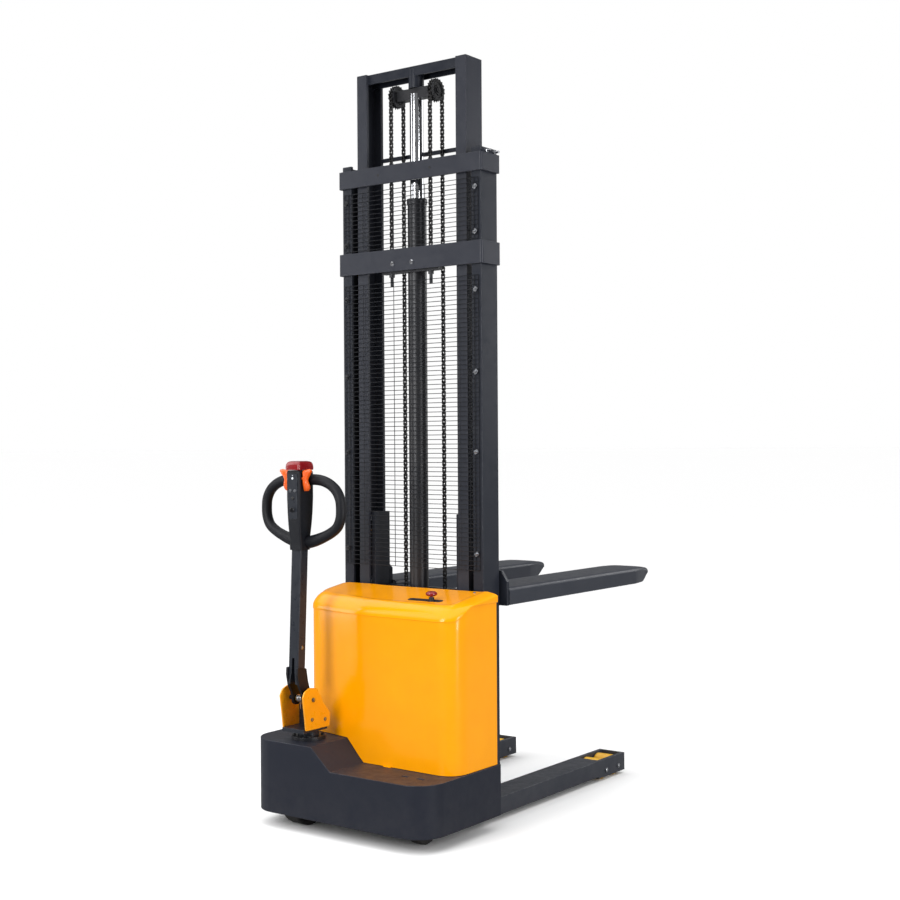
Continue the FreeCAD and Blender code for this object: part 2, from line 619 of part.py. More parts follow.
def pulleys():
    for side in SIDES:
        half = "pulley_width / 2"
        points = [(f"-({half})", "pin_diameter / 2 + fit"), (half, "pin_diameter / 2 + fit"),
                  (half, "pulley_flange"), (f"{half} - 2", "pulley_flange"),
                  (f"{half} - 2.5", "pulley_root"), (f"-({half}) + 2.5", "pulley_root"),
                  (f"-({half}) + 2", "pulley_flange"), (f"-({half})", "pulley_flange")]
        node(f"chain_wheel_{side}", turned(f"wheel_{side}", points,
                                           f"{SIGN[side]}pulley_offset", "ram_back",
                                           "pulley_centre"))


def chains():
    rear_y = "ram_back - pulley_root - chain_depth - chain_gap"
    front_y = "ram_back + pulley_root + chain_gap"
    rear_foot = "anchor_shelf + anchor_rise"
    front_foot = f"{CLEVIS_FOOT} + clevis_height"
    wraps, rear, front = [], [], []
    for side in SIDES:
        x = (f"{SIGN[side]}pulley_offset - chain_width / 2", "chain_width")
        rear.append(block(f"rear_{side}", x, (rear_y, "chain_depth"),
                          (rear_foot, f"pulley_centre - ({rear_foot})")))
        front.append(block(f"front_{side}", x, (front_y, "chain_depth"),
                           (front_foot, f"pulley_centre - ({front_foot})")))
        over = rod(f"over_{side}", "x", x[0], "ram_back", "pulley_centre",
                   "2 * (pulley_root + chain_depth + chain_gap)", "chain_width")
        under = rod(f"under_{side}", "x", f"{x[0]} - 1", "ram_back", "pulley_centre",
                    "2 * (pulley_root + chain_gap)", "chain_width + 2")
        below = block(f"below_{side}", (f"{x[0]} - 1", "chain_width + 2"),
                      ("ram_back - wrap_room", "2 * wrap_room"),
                      ("pulley_centre - wrap_room", "wrap_room"))
        wraps.append(cut(f"wrap_{side}", over, under, below))
    node("chain_rear", group("chain_rear_strands", *rear))
    node("chain_front", group("chain_front_strands", *front))
    node("chain_wraps", group("wraps", *wraps))


# ---------------------------------------------------------------- carriage


def carriage():
    inner = "inner_half - inner_flange - cheek_gap"
    pieces = []
    for side in SIDES:
        pieces.append(block(f"cheek_{side}", sided(side, f"{inner} - cheek_wall", inner),
                            ("inner_back + cheek_inset", f"{PLATE_BACK} - inner_back - cheek_inset"),
                            (CARRIAGE_FOOT, "carriage_height")))
        start, length = sided(side, inner, "inner_half - rail_web - stub_gap")
        for number, height in enumerate((LOW_ROLLER, HIGH_ROLLER)):
            pieces.append(rod(f"stub_{side}_{number}", "x", start, "inner_back + inner_depth / 2",
                              height, "stub_diameter", length))
        clevis_x = (f"{SIGN[side]}pulley_offset - clevis_width / 2", "clevis_width")
        pieces.append(block(f"clevis_{side}", clevis_x,
                            ("ram_back + pulley_root", f"{PLATE_BACK} - ram_back - pulley_root"),
                            (CLEVIS_FOOT, "clevis_height")))
    pieces.append(block("chain_bar", (f"-({inner})", f"2 * ({inner})"),
                        (f"{PLATE_BACK} - bar_wall", "bar_wall"),
                        (CARRIAGE_FOOT, f"plate_dip - ({CARRIAGE_FOOT})")))
    reach = "fork_half - plate_inset"
    points = [(f"-({reach})", CARRIAGE_FOOT), (reach, CARRIAGE_FOOT),
              (reach, "plate_top - plate_slope"),
              (f"{reach} - plate_slope_run", "plate_top"), ("dip_half + dip_slope", "plate_top"),
              ("dip_half", "plate_top - dip_slope"), ("dip_half", "plate_dip"),
              ("-dip_half", "plate_dip"), ("-dip_half", "plate_top - dip_slope"),
              ("-(dip_half + dip_slope)", "plate_top"),
              (f"-({reach}) + plate_slope_run", "plate_top"),
              (f"-({reach})", "plate_top - plate_slope")]
    pieces.append(plate("load_plate", "XZ", points, PLATE_BACK, "plate_wall"))
    node("carriage_frame", fuse("carriage_solid", *pieces))


def forks():
    """Pressed forks, open below, narrowing to a bevelled nose."""
    for side in SIDES:
        middle = f"{SIGN[side]}(fork_half - fork_width / 2)"
        start = f"{PLATE_BACK} + plate_wall"

        def plan(name, inset, top_gap, end_gap):
            wide = f"(fork_width / 2 - {inset})"
            slim = f"(fork_nose / 2 - {inset})"
            points = [(f"{middle} - {wide}", start), (f"{middle} + {wide}", start),
                      (f"{middle} + {wide}", "fork_tip - fork_taper"),
                      (f"{middle} + {slim}", f"fork_tip - {end_gap}"),
                      (f"{middle} - {slim}", f"fork_tip - {end_gap}"),
                      (f"{middle} - {wide}", "fork_tip - fork_taper")]
            foot = "fork_foot" if top_gap == "0" else "fork_foot - 1"
            return plate(name, "XY", points, foot, f"fork_foot + fork_depth - {top_gap} - ({foot})")

        outer = plan(f"fork_outer_{side}", "0", "0", "0")
        tip, foot = reckon("fork_tip"), reckon("fork_foot")
        nose = lambda edge: all(abs(v.Y - tip) < 1e-6 and abs(v.Z - foot) < 1e-6
                                for v in edge.Vertexes)
        bevel(outer, f"fork_bevel_{side}", nose, "fork_chamfer")
        inner = plan(f"fork_inner_{side}", "fork_wall", "fork_wall",
                     "fork_chamfer + fork_nose_wall")
        node(f"fork_{side}", cut(f"fork_form_{side}", outer, inner))


# ---------------------------------------------------------------- straddle legs


def legs():
    axles = []
    for side in SIDES:
        x = sided(side, "leg_inner", "leg_outer")
        beam = block(f"leg_beam_{side}", x, ("body_depth", f"{LEG_TIP} - body_depth"),
                     ("leg_foot", "leg_top - leg_foot"))
        cheeks = block(f"leg_cheeks_{side}", x, (f"{SLOT_BACK} - cheek_lead",
                                                 f"{LEG_TIP} - ({SLOT_BACK}) + cheek_lead"),
                       ("cheek_foot", "leg_top - cheek_foot - cheek_drop"))
        slot = block(f"leg_slot_{side}",
                     sided(side, "leg_inner + cheek_thick", "leg_outer - cheek_thick"),
                     (SLOT_BACK, f"{SLOT_FRONT} - ({SLOT_BACK})"),
                     ("0", "leg_top + 1"))
        inside = block(f"leg_inside_{side}",
                       sided(side, "leg_inner + leg_wall", "leg_outer - leg_wall"),
                       ("body_depth + leg_plug",
                        f"{SLOT_BACK} - body_depth - leg_plug - 2 * cheek_lead"),
                       ("leg_foot - 1", "leg_top - leg_foot - leg_wall + 1"))
        holes = []
        for number in range(2):
            y = f"load_back + {number} * load_pitch"
            holes.append(rod(f"axle_hole_{side}_{number}", "x", f"{x[0]} - 1", y,
                             "load_diameter / 2", "load_axle", f"{x[1]} + 2"))
            axles.append(rod(f"axle_{side}_{number}", "x", f"{x[0]} - axle_reach", y,
                            "load_diameter / 2", "load_axle", f"{x[1]} + 2 * axle_reach"))
            wheel_x = f"{SIGN[side]}(leg_inner + leg_outer) / 2"
            points = ring_profile("load_axle / 2 + fit", "load_diameter / 2", "load_width / 2")
            place = ("rear", "front")[number]
            node(f"load_wheel_{side}_{place}",
                 turned(f"load_{side}_{place}", points, wheel_x, y, "load_diameter / 2"))
        node(f"leg_{side}", cut(f"leg_form_{side}", fuse(f"leg_solid_{side}", beam, cheeks),
                                slot, inside, *holes))
    node("load_axles", group("axles", *axles))


# ---------------------------------------------------------------- drive, castor and column


def drive():
    x, y = "-column_left", "column_back"
    centre = "drive_diameter / 2"
    disc = rod("turntable", "z", x, y, "turntable_foot", "turntable_diameter", "turntable_wall")
    yoke = block("yoke", (f"{x} + yoke_offset", "yoke_wall"),
                 (f"{y} - yoke_depth / 2", "yoke_depth"),
                 (f"{centre} - yoke_drop", f"turntable_foot - {centre} + yoke_drop"))
    motor = rod("motor", "x", f"{x} + yoke_offset + yoke_wall", y, centre, "motor_diameter",
                "motor_length")
    axle = rod("drive_axle_bar", "x", f"{x} - drive_shift - drive_width / 2", y, centre,
               "drive_axle", "drive_shift + drive_width / 2 + yoke_offset + 1")
    node("drive_unit", fuse("drive_solid", disc, yoke, motor, axle))
    points = ring_profile("drive_axle / 2 + fit", "drive_diameter / 2", "drive_width / 2", "5")
    node("drive_wheel", turned("drive_tyre", points, f"{x} - drive_shift", y, centre))

    post = rod("post", "z", x, y, "turntable_foot + turntable_wall", "post_diameter",
               "bracket_foot - turntable_foot - turntable_wall")
    foot = block("bracket_floor", (f"{x} - bracket_half + bracket_wall",
                                   "2 * (bracket_half - bracket_wall)"),
                 ("bracket_back", "bracket_depth"), ("bracket_foot", "bracket_floor"))
    stand = block("bracket_back", (f"{x} - bracket_half + bracket_wall",
                                   "2 * (bracket_half - bracket_wall)"),
                  ("pivot_back + stand_shift", "stand_wall"),
                  ("bracket_foot + bracket_floor", "stand_height"))
    pin = rod("tilt_pin", "x", f"{x} - bracket_half - tilt_pin_reach", "pivot_back",
              "pivot_height", "pivot_diameter", "2 * (bracket_half + tilt_pin_reach)")
    node("tiller_column", group("column", fuse("column_solid", post, foot, stand), pin))

    points = [(f"pivot_back + ({along})", f"pivot_height + ({up})") for along, up in BRACKET]
    plates = []
    for side in SIDES:
        inner = f"{x} + bracket_half - bracket_wall" if side == "right" else f"{x} - bracket_half"
        body = plate(f"bracket_{side}", "YZ", points, inner, "bracket_wall")
        hole = rod(f"bracket_hole_{side}", "x", f"{inner} - 1", "pivot_back", "pivot_height",
                   "pivot_diameter", "bracket_wall + 2")
        plates.append(cut(f"bracket_cut_{side}", body, hole))
    node("tiller_brackets", group("brackets", *plates))

    ring = cut("ring", rod("ring_disc", "z", x, y, "block_top", "ring_diameter", "ring_wall"),
               rod("ring_bore", "z", x, y, "block_top - 1", "post_diameter + ring_play",
                   "ring_wall + 2"))
    node("steering_ring", ring)

    coils = []
    for number in range(5):
        torus = doc.addObject("Part::Torus", f"coil_{number}")
        torus.Placement = Placement(Vector(), TURN["x"])
        bind(torus, "Radius2", "coil_wire / 2")
        bind(torus, "Radius1", "(pivot_diameter + coil_wire) / 2 + coil_gap")
        put(torus, f"{x} + ({number} - 2) * coil_pitch", "pivot_back", "pivot_height")
        coils.append(torus)
    node("tilt_spring", group("coils", *coils))


def castor():
    x, y = "castor_left", "castor_back"
    top = "deck_top - skin - shelf_wall"
    fork_top = "castor_diameter + castor_room"
    wheel_y = f"{y} + castor_trail"
    outside = "castor_width / 2 + castor_gap + castor_cheek"
    stem = rod("castor_stem", "z", x, y, fork_top, "castor_stem",
               f"{top} - castor_play - ({fork_top})")
    bridge = block("castor_bridge", (f"{x} - ({outside})", f"2 * ({outside})"),
                   (f"{y} - castor_bridge", "2 * castor_bridge + castor_trail"),
                   (fork_top, "castor_bridge_wall"))
    cheeks = []
    for n in range(2):
        start = f"{x} - ({outside})" if n == 0 else f"{x} + {outside} - castor_cheek"
        foot = "castor_diameter / 2 - castor_cheek_drop"
        cheeks.append(block(f"castor_cheek_{n}", (start, "castor_cheek"),
                            (f"{wheel_y} - castor_cheek_half", "2 * castor_cheek_half"),
                            (foot, f"{fork_top} + castor_bridge_wall / 2 - ({foot})")))
    pin = rod("castor_pin", "x", f"{x} - ({outside}) - castor_gap", wheel_y,
              "castor_diameter / 2", "castor_axle", f"2 * ({outside} + castor_gap)")
    node("castor_fork", fuse("castor_solid", stem, bridge, pin, *cheeks))
    points = ring_profile("castor_axle / 2 + fit", "castor_diameter / 2", "castor_width / 2", "4")
    node("castor_wheel", turned("castor_tyre", points, x, wheel_y, "castor_diameter / 2"))


# ---------------------------------------------------------------- tiller


def rounded_path(points, radius):
    """Straight runs through the points, joined by tangent arcs."""
    edges, last = [], points[0]
    for before, corner, after in zip(points, points[1:], points[2:]):
        back, ahead = (before - corner).normalize(), (after - corner).normalize()
        turn = math.pi - back.getAngle(ahead)
        reach = min(radius * math.tan(turn / 2), 0.45 * (before - corner).Length,
                    0.45 * (after - corner).Length)
        start, end = corner + back * reach, corner + ahead * reach
        middle = (back + ahead).normalize()
        gap = reach / math.sin(turn / 2) - reach / math.tan(turn / 2)
        inner = corner + middle * gap
        edges.append(Part.LineSegment(last, start).toShape())
        edges.append(Part.Arc(start, inner, end).toShape())
        last = end
    edges.append(Part.LineSegment(last, points[-1]).toShape())
    return Part.Wire(edges)


def loop_tube(sign):
    """One half of the handle, from the head's shoulder round to its foot."""
    x, y = -size.column_left, size.loop_back
    start = size.head_width / 2
    high, low, reach = size.loop_top, size.loop_foot, size.loop_half
    tall = high - low
    spots = [(start, high), (start + 62, high), (reach - 22, high - 0.17 * tall),
             (reach, high - 0.38 * tall), (reach - 16, high - 0.68 * tall),
             (start + 66, high - 0.92 * tall), (start + 30, low), (start, low)]
    points = [Vector(x + sign * across, y, up) for across, up in spots]
    path = rounded_path(points, 60)
    section = Part.Wire(Part.makeCircle(size.loop_diameter / 2, points[0], Vector(1, 0, 0)))
    return path.makePipeShell([section], True, True)


def tiller():
    x = "-column_left"
    half = "arm_width / 2"
    foot_y, head_y = "arm_back", "arm_back + arm_lean"
    points = [(foot_y, "arm_foot"), (f"{foot_y} + arm_depth", "arm_foot"),
              (f"{head_y} + arm_depth", "head_foot"), (head_y, "head_foot")]
    beam = plate("arm_beam", "YZ", points, f"{x} - {half}", "arm_width")
    lean = "arm_lean * arm_plug / (head_foot - arm_foot)"
    hollow_points = [(f"{foot_y} + arm_wall + {lean}", "arm_foot + arm_plug"),
                     (f"{foot_y} + arm_depth - arm_wall + {lean}", "arm_foot + arm_plug"),
                     (f"{head_y} + arm_depth - arm_wall", "head_foot - arm_cap"),
                     (f"{head_y} + arm_wall", "head_foot - arm_cap")]
    hollow = plate("arm_hollow", "YZ", hollow_points, f"{x} - {half} + arm_wall",
                   "arm_width - 2 * arm_wall")
    parts = []
    for side in SIDES:
        start = (f"{x} + {half} - eye_lap" if side == "right"
                 else f"{x} - {half} + eye_lap - eye_wall")
        profile = [("pivot_back - eye_diameter / 2", "pivot_height"),
                   ("pivot_back + eye_diameter / 2", "pivot_height"),
                   (f"{foot_y} + arm_depth", "arm_foot + eye_rise"),
                   (foot_y, "arm_foot + eye_rise")]
        parts.append(plate(f"fork_cheek_{side}", "YZ", profile, start, "eye_wall"))
        parts.append(rod(f"fork_eye_{side}", "x", start, "pivot_back", "pivot_height",
                         "eye_diameter", "eye_wall"))
    bore = rod("tilt_bore", "x", f"{x} - bracket_half", "pivot_back", "pivot_height",
               "pivot_diameter + 2 * fit", "2 * bracket_half")
    solid = fuse("arm_solid", cut("arm_tube", beam, hollow), *parts)
    node("tiller_arm", cut("arm", solid, bore))

    centre_y = "head_back + head_depth / 2"
    head = block("head_block", (f"{x} - head_width / 2", "head_width"),
                 ("head_back", "head_depth"), ("head_foot", "head_top - head_foot"))
    throttle_bore = rod("throttle_bore", "x", f"{x} - head_width", "throttle_back",
                        "throttle_height", "throttle_axle + 2 * fit", "2 * head_width")
    plunger_bore = rod("plunger_bore", "z", x, centre_y, "head_top - plunger_seat",
                       "plunger_diameter + 2 * fit", "plunger_seat + 1")
    buttons = (("lift_button", f"{x} - button_offset", "button_height"),
               ("lower_button", f"{x} + button_offset", "button_height"),
               ("horn_button", x, "button_height - horn_drop"))
    button_bores = [rod(label + "_bore", "y", across, "head_back - 1", height,
                        "button_diameter + button_play", "button_seat + 1")
                    for label, across, height in buttons]
    key_bore = rod("key_bore", "y", x, "head_back - 1", "key_height", "key_diameter + 4 * fit",
                   "key_seat + 1")
    node("tiller_head", cut("head", head, throttle_bore, plunger_bore, key_bore, *button_bores))
    halves = [shaped(f"loop_{sign}", loop_tube(sign)) for sign in (-1, 1)]
    node("handle_loop", group("loop", *halves))

    reach = "head_width / 2 + throttle_gap + throttle_wall"
    lobes = [rod("throttle_shaft", "x", f"{x} - ({reach})", "throttle_back", "throttle_height",
                 "throttle_axle", f"2 * ({reach})")]
    for side in SIDES:
        start = (f"{x} + head_width / 2 + throttle_gap" if side == "right"
                 else f"{x} - ({reach})")
        lobes.append(block(f"lobe_{side}", (start, "throttle_wall"),
                           ("throttle_back - throttle_depth / 2", "throttle_depth"),
                           ("throttle_height - throttle_low", "throttle_low + throttle_high")))
    node("throttle", fuse("throttle_solid", *lobes))

    cap = block("belly_cap", (f"{x} - head_width / 2", "head_width"),
                ("head_back + belly_inset", "head_depth - 2 * belly_inset"),
                ("head_top + belly_travel + belly_gap", "belly_height"))
    plunger = rod("plunger", "z", x, centre_y, "head_top - plunger_reach", "plunger_diameter",
                  "plunger_reach + belly_travel + belly_gap + 1")
    node("belly_button", fuse("belly", cap, plunger))
    for label, across, height in buttons:
        node(label, rod(label + "_cap", "y", across, "head_back - button_stand", height,
                        "button_diameter", "button_length"))
    barrel = rod("key_barrel", "y", x, "head_back - key_stand", "key_height", "key_diameter",
                 "key_length")
    blade = block("key_blade", (f"{x} - key_wall / 2", "key_wall"),
                  ("head_back - key_reach", "key_reach - key_stand + 1"),
                  ("key_height - key_diameter / 2", "key_diameter"))
    node("key_switch", fuse("key", barrel, blade))


# ---------------------------------------------------------------- small fittings


def emergency_stop():
    x, y = "estop_left", "estop_back"
    seat = "cap_shoulder + estop_rise"
    foot = "hood_rim + collar_drop"
    node("estop_base", cut("stop_base", rod("stop_collar", "z", x, y, foot, "collar_diameter",
                                            f"{seat} + estop_stand - ({foot})"),
                           rod("stop_bore", "z", x, y, "hood_rim", "stop_stem + 2 * fit",
                               "2 * (cap_top - hood_rim)")))
    mushroom = rod("mushroom", "z", x, y, f"{seat} + estop_gap", "estop_diameter",
                   "estop_height")
    stem = rod("stop_stem", "z", x, y, "hood_rim + stop_stem_drop", "stop_stem",
               f"{seat} + estop_gap + 1 - hood_rim - stop_stem_drop")
    node("estop_button", fuse("stop_button", mushroom, stem))


def fasteners(clips):
    bolts = [clips]
    for number, across in enumerate(("-band_bolt_left", "band_bolt_right")):
        bolts.append(rod(f"band_bolt_{number}", "y", across,
                         "mast_back - band_wall - dome_height",
                         "lower_band_foot + band_bolt_rise", "dome_diameter", "dome_height"))
    for number in range(2):
        bolts.append(rod(f"stop_bolt_{number}", "x", "mast_half",
                         f"mast_back + stop_bolt_back + {number} * stop_bolt_pitch",
                         "mast_top - stop_bolt_drop", "bolt_diameter", "stop_bolt_length"))
    for number in range(4):
        turn = f"(45 + 90 * {number})"
        bolts.append(rod(f"ring_bolt_{number}", "z",
                         f"-column_left + ring_bolt_circle / 2 * cos({turn})",
                         f"column_back + ring_bolt_circle / 2 * sin({turn})",
                         "block_top + ring_wall", "ring_bolt", "ring_bolt_height"))
    node("fasteners", group("bolts", *bolts))


# ---------------------------------------------------------------- build and write

for build in (chassis, hood, contents, outer_mast, inner_mast, rollers, pulleys, chains,
              carriage, forks, legs, drive, castor, tiller, emergency_stop):
    build()
fasteners(guards())
doc.recompute()

faults = [thing.Label for thing in doc.Objects
          if "Invalid" in thing.State or "Error" in thing.State]
faults += [label for label, thing in nodes
           if thing.Shape.isNull() or not thing.Shape.isValid() or not thing.Shape.Solids]
if faults:
    raise SystemExit("failed: " + ", ".join(faults))

os.makedirs("parts", exist_ok=True)
for label, thing in nodes:
    thing.Shape.exportStep(os.path.join("parts", label + ".step"))
print(len(nodes), "nodes written")
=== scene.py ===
"""Studio model of a pedestrian straddle stacker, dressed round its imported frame.

Sizes in the classes are millimetres: x to the operator's right, y forward from the rear
face of the chassis, z up from the floor. `spot` turns them into the frame's metres.
"""

import json
import logging
import math
from dataclasses import dataclass, field
from enum import Enum
from typing import Callable, Iterable, Sequence

import bmesh
import bpy
from mathutils import Matrix, Vector

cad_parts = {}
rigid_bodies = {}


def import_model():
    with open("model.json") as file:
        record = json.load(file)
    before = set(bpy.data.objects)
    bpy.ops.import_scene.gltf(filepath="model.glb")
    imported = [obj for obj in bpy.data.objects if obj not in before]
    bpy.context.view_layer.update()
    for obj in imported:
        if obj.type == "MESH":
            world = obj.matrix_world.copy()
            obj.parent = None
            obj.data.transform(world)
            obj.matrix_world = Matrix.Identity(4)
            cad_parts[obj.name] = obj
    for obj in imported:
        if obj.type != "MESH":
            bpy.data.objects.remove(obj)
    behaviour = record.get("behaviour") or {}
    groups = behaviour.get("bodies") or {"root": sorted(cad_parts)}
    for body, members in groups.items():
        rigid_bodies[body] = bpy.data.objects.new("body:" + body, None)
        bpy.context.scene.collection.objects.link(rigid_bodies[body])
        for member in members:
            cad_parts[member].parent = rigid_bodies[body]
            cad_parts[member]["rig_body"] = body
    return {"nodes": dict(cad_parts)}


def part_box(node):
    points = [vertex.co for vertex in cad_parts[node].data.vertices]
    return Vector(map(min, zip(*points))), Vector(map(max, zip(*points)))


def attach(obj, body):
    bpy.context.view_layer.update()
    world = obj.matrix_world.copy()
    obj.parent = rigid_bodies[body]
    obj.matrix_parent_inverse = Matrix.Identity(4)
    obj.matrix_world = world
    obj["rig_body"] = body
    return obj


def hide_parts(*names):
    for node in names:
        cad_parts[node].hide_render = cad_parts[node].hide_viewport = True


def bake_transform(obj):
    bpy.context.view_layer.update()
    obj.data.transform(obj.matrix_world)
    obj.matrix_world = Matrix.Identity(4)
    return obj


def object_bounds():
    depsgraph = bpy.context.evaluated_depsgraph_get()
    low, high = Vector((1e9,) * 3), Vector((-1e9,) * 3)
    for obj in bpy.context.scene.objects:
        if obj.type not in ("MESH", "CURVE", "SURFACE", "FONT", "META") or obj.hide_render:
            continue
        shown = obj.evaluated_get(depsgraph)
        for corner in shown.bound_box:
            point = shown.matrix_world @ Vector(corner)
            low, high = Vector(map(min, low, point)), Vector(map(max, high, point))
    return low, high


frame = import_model()
CAD_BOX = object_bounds()

log = logging.getLogger("stacker")
MM = 0.001
REAR_FACE = -CAD_BOX[1].y
Outline = list[tuple[float, float]]


def spot(x: float, y: float, z: float) -> Vector:
    """A point given in millimetres from the rear face, in the frame's metres."""
    return Vector((x * MM, REAR_FACE + y * MM, z * MM))


def smooth(value: float, low: float, high: float) -> float:
    """Ease from 0 at low to 1 at high."""
    share = min(1.0, max(0.0, (value - low) / (high - low)))
    return share * share * (3 - 2 * share)


# ------------------------------------------------------------------ shader groups


class Effect(Enum):
    """The surface effects that several finishes share."""

    GRAIN = "surface_grain"
    RUB = "edge_rub"
    DUST = "settled_dust"


class EffectLibrary:
    """Builds each shared effect once, as a shader node group of masks and heights."""

    def __init__(self) -> None:
        """Make the three groups."""
        self.groups = {
            Effect.GRAIN: self._grain(),
            Effect.RUB: self._rub(),
            Effect.DUST: self._dust(),
        }

    @staticmethod
    def _group(name: str, inputs: dict[str, float], outputs: Sequence[str]):
        """Start a group.

        Args:
            name: The group's name.
            inputs: Each input's name and default value.
            outputs: The names of the float outputs.

        Returns:
            The tree with its input node and output node.
        """
        tree = bpy.data.node_groups.new(name, "ShaderNodeTree")
        for label, value in inputs.items():
            socket = tree.interface.new_socket(label, in_out="INPUT", socket_type="NodeSocketFloat")
            socket.default_value = value
        for label in outputs:
            tree.interface.new_socket(label, in_out="OUTPUT", socket_type="NodeSocketFloat")
        return tree, tree.nodes.new("NodeGroupInput"), tree.nodes.new("NodeGroupOutput")

    @staticmethod
    def _ramp(tree, source, low: float, high: float, out_low: float = 0.0, out_high: float = 1.0):
        """Map a value from one range to another, clamped; returns the result socket."""
        node = tree.nodes.new("ShaderNodeMapRange")
        tree.links.new(source, node.inputs["Value"])
        for label, value in (("From Min", low), ("From Max", high),
                             ("To Min", out_low), ("To Max", out_high)):
            node.inputs[label].default_value = value
        return node.outputs["Result"]

    @staticmethod
    def _math(tree, kind: str, first, second):
        """A math node; each operand is a socket or a number. Returns the result socket."""
        node = tree.nodes.new("ShaderNodeMath")
        node.operation = kind
        for index, operand in enumerate((first, second)):
            if isinstance(operand, (int, float)):
                node.inputs[index].default_value = operand
            else:
                tree.links.new(operand, node.inputs[index])
        return node.outputs[0]

    def _noise(self, tree, vector, scale, detail: float = 3.0, roughness: float = 0.55):
        """A noise texture on a vector; scale is a socket or a number."""
        node = tree.nodes.new("ShaderNodeTexNoise")
        tree.links.new(vector, node.inputs["Vector"])
        node.inputs["Detail"].default_value = detail
        node.inputs["Roughness"].default_value = roughness
        if isinstance(scale, (int, float)):
            node.inputs["Scale"].default_value = scale
        else:
            tree.links.new(scale, node.inputs["Scale"])
        return node.outputs["Fac"]

    def _grain(self):
        """Fine grain for bump, slow mottling for colour, and smears for roughness."""
        tree, given, made = self._group(
            "surface_grain",
            {"Fineness": 700.0, "Squeeze Z": 1.0, "Scratches": 0.0},
            ("Height", "Mottle", "Smear"))
        place = tree.nodes.new("ShaderNodeTexCoord").outputs["Object"]
        squeeze = tree.nodes.new("ShaderNodeCombineXYZ")
        squeeze.inputs["X"].default_value = squeeze.inputs["Y"].default_value = 1.0
        tree.links.new(given.outputs["Squeeze Z"], squeeze.inputs["Z"])
        pulled = tree.nodes.new("ShaderNodeVectorMath")
        pulled.operation = "MULTIPLY"
        tree.links.new(place, pulled.inputs[0])
        tree.links.new(squeeze.outputs[0], pulled.inputs[1])
        fine = self._noise(tree, pulled.outputs[0], given.outputs["Fineness"], 2.0)
        broad = self._noise(tree, place, 9.0, 4.0)
        streak = tree.nodes.new("ShaderNodeMapping")
        streak.inputs["Rotation"].default_value = (0.4, 0.3, 0.9)
        streak.inputs["Scale"].default_value = (900.0, 900.0, 9.0)
        tree.links.new(place, streak.inputs["Vector"])
        lines = self._ramp(tree, self._noise(tree, streak.outputs[0], 1.0, 1.0), 0.70, 0.78)
        scratch = self._math(tree, "MULTIPLY", lines, given.outputs["Scratches"])
        tree.links.new(self._math(tree, "SUBTRACT", fine, scratch), made.inputs["Height"])
        tree.links.new(self._ramp(tree, broad, 0.3, 0.7), made.inputs["Mottle"])
        cloud = self._noise(tree, place, 31.0, 5.0, 0.65)
        smear = self._math(tree, "ADD", self._ramp(tree, cloud, 0.35, 0.75), scratch)
        tree.links.new(smear, made.inputs["Smear"])
        return tree

    def _rub(self):
        """A mask of the edges where paint has rubbed, broken up by noise."""
        tree, given, made = self._group(
            "edge_rub", {"Reach": 0.002, "Break-up": 60.0}, ("Mask",))
        bevel = tree.nodes.new("ShaderNodeBevel")
        bevel.samples = 4
        tree.links.new(given.outputs["Reach"], bevel.inputs["Radius"])
        true_normal = tree.nodes.new("ShaderNodeNewGeometry").outputs["True Normal"]
        dot = tree.nodes.new("ShaderNodeVectorMath")
        dot.operation = "DOT_PRODUCT"
        tree.links.new(bevel.outputs[0], dot.inputs[0])
        tree.links.new(true_normal, dot.inputs[1])
        edge = self._ramp(tree, dot.outputs["Value"], 0.985, 0.86)
        place = tree.nodes.new("ShaderNodeTexCoord").outputs["Object"]
        patches = self._noise(tree, place, given.outputs["Break-up"], 5.0)
        worn = self._ramp(tree, patches, 0.44, 0.66)
        tree.links.new(self._math(tree, "MULTIPLY", edge, worn), made.inputs["Mask"])
        return tree

    def _dust(self):
        """A mask of dust that lies on upward faces and low on the sides."""
        tree, given, made = self._group(
            "settled_dust", {"Top": 0.3, "Low": 0.3, "Low Height": 0.25}, ("Mask",))
        axes = tree.nodes.new("ShaderNodeSeparateXYZ")
        tree.links.new(tree.nodes.new("ShaderNodeNewGeometry").outputs["Normal"], axes.inputs[0])
        place = tree.nodes.new("ShaderNodeTexCoord").outputs["Object"]
        where = tree.nodes.new("ShaderNodeSeparateXYZ")
        tree.links.new(place, where.inputs[0])
        up = self._math(tree, "MULTIPLY", self._ramp(tree, axes.outputs["Z"], 0.6, 1.0),
                        given.outputs["Top"])
        share = self._math(tree, "DIVIDE", where.outputs["Z"], given.outputs["Low Height"])
        low = self._math(tree, "MULTIPLY", self._ramp(tree, share, 1.0, 0.0), given.outputs["Low"])
        both = self._math(tree, "MAXIMUM", up, low)
        patch = self._ramp(tree, self._noise(tree, place, 14.0, 6.0, 0.7), 0.3, 0.75)
        tree.links.new(self._math(tree, "MULTIPLY", both, patch), made.inputs["Mask"])
        return tree


EFFECTS = EffectLibrary()


# ------------------------------------------------------------------ finishes


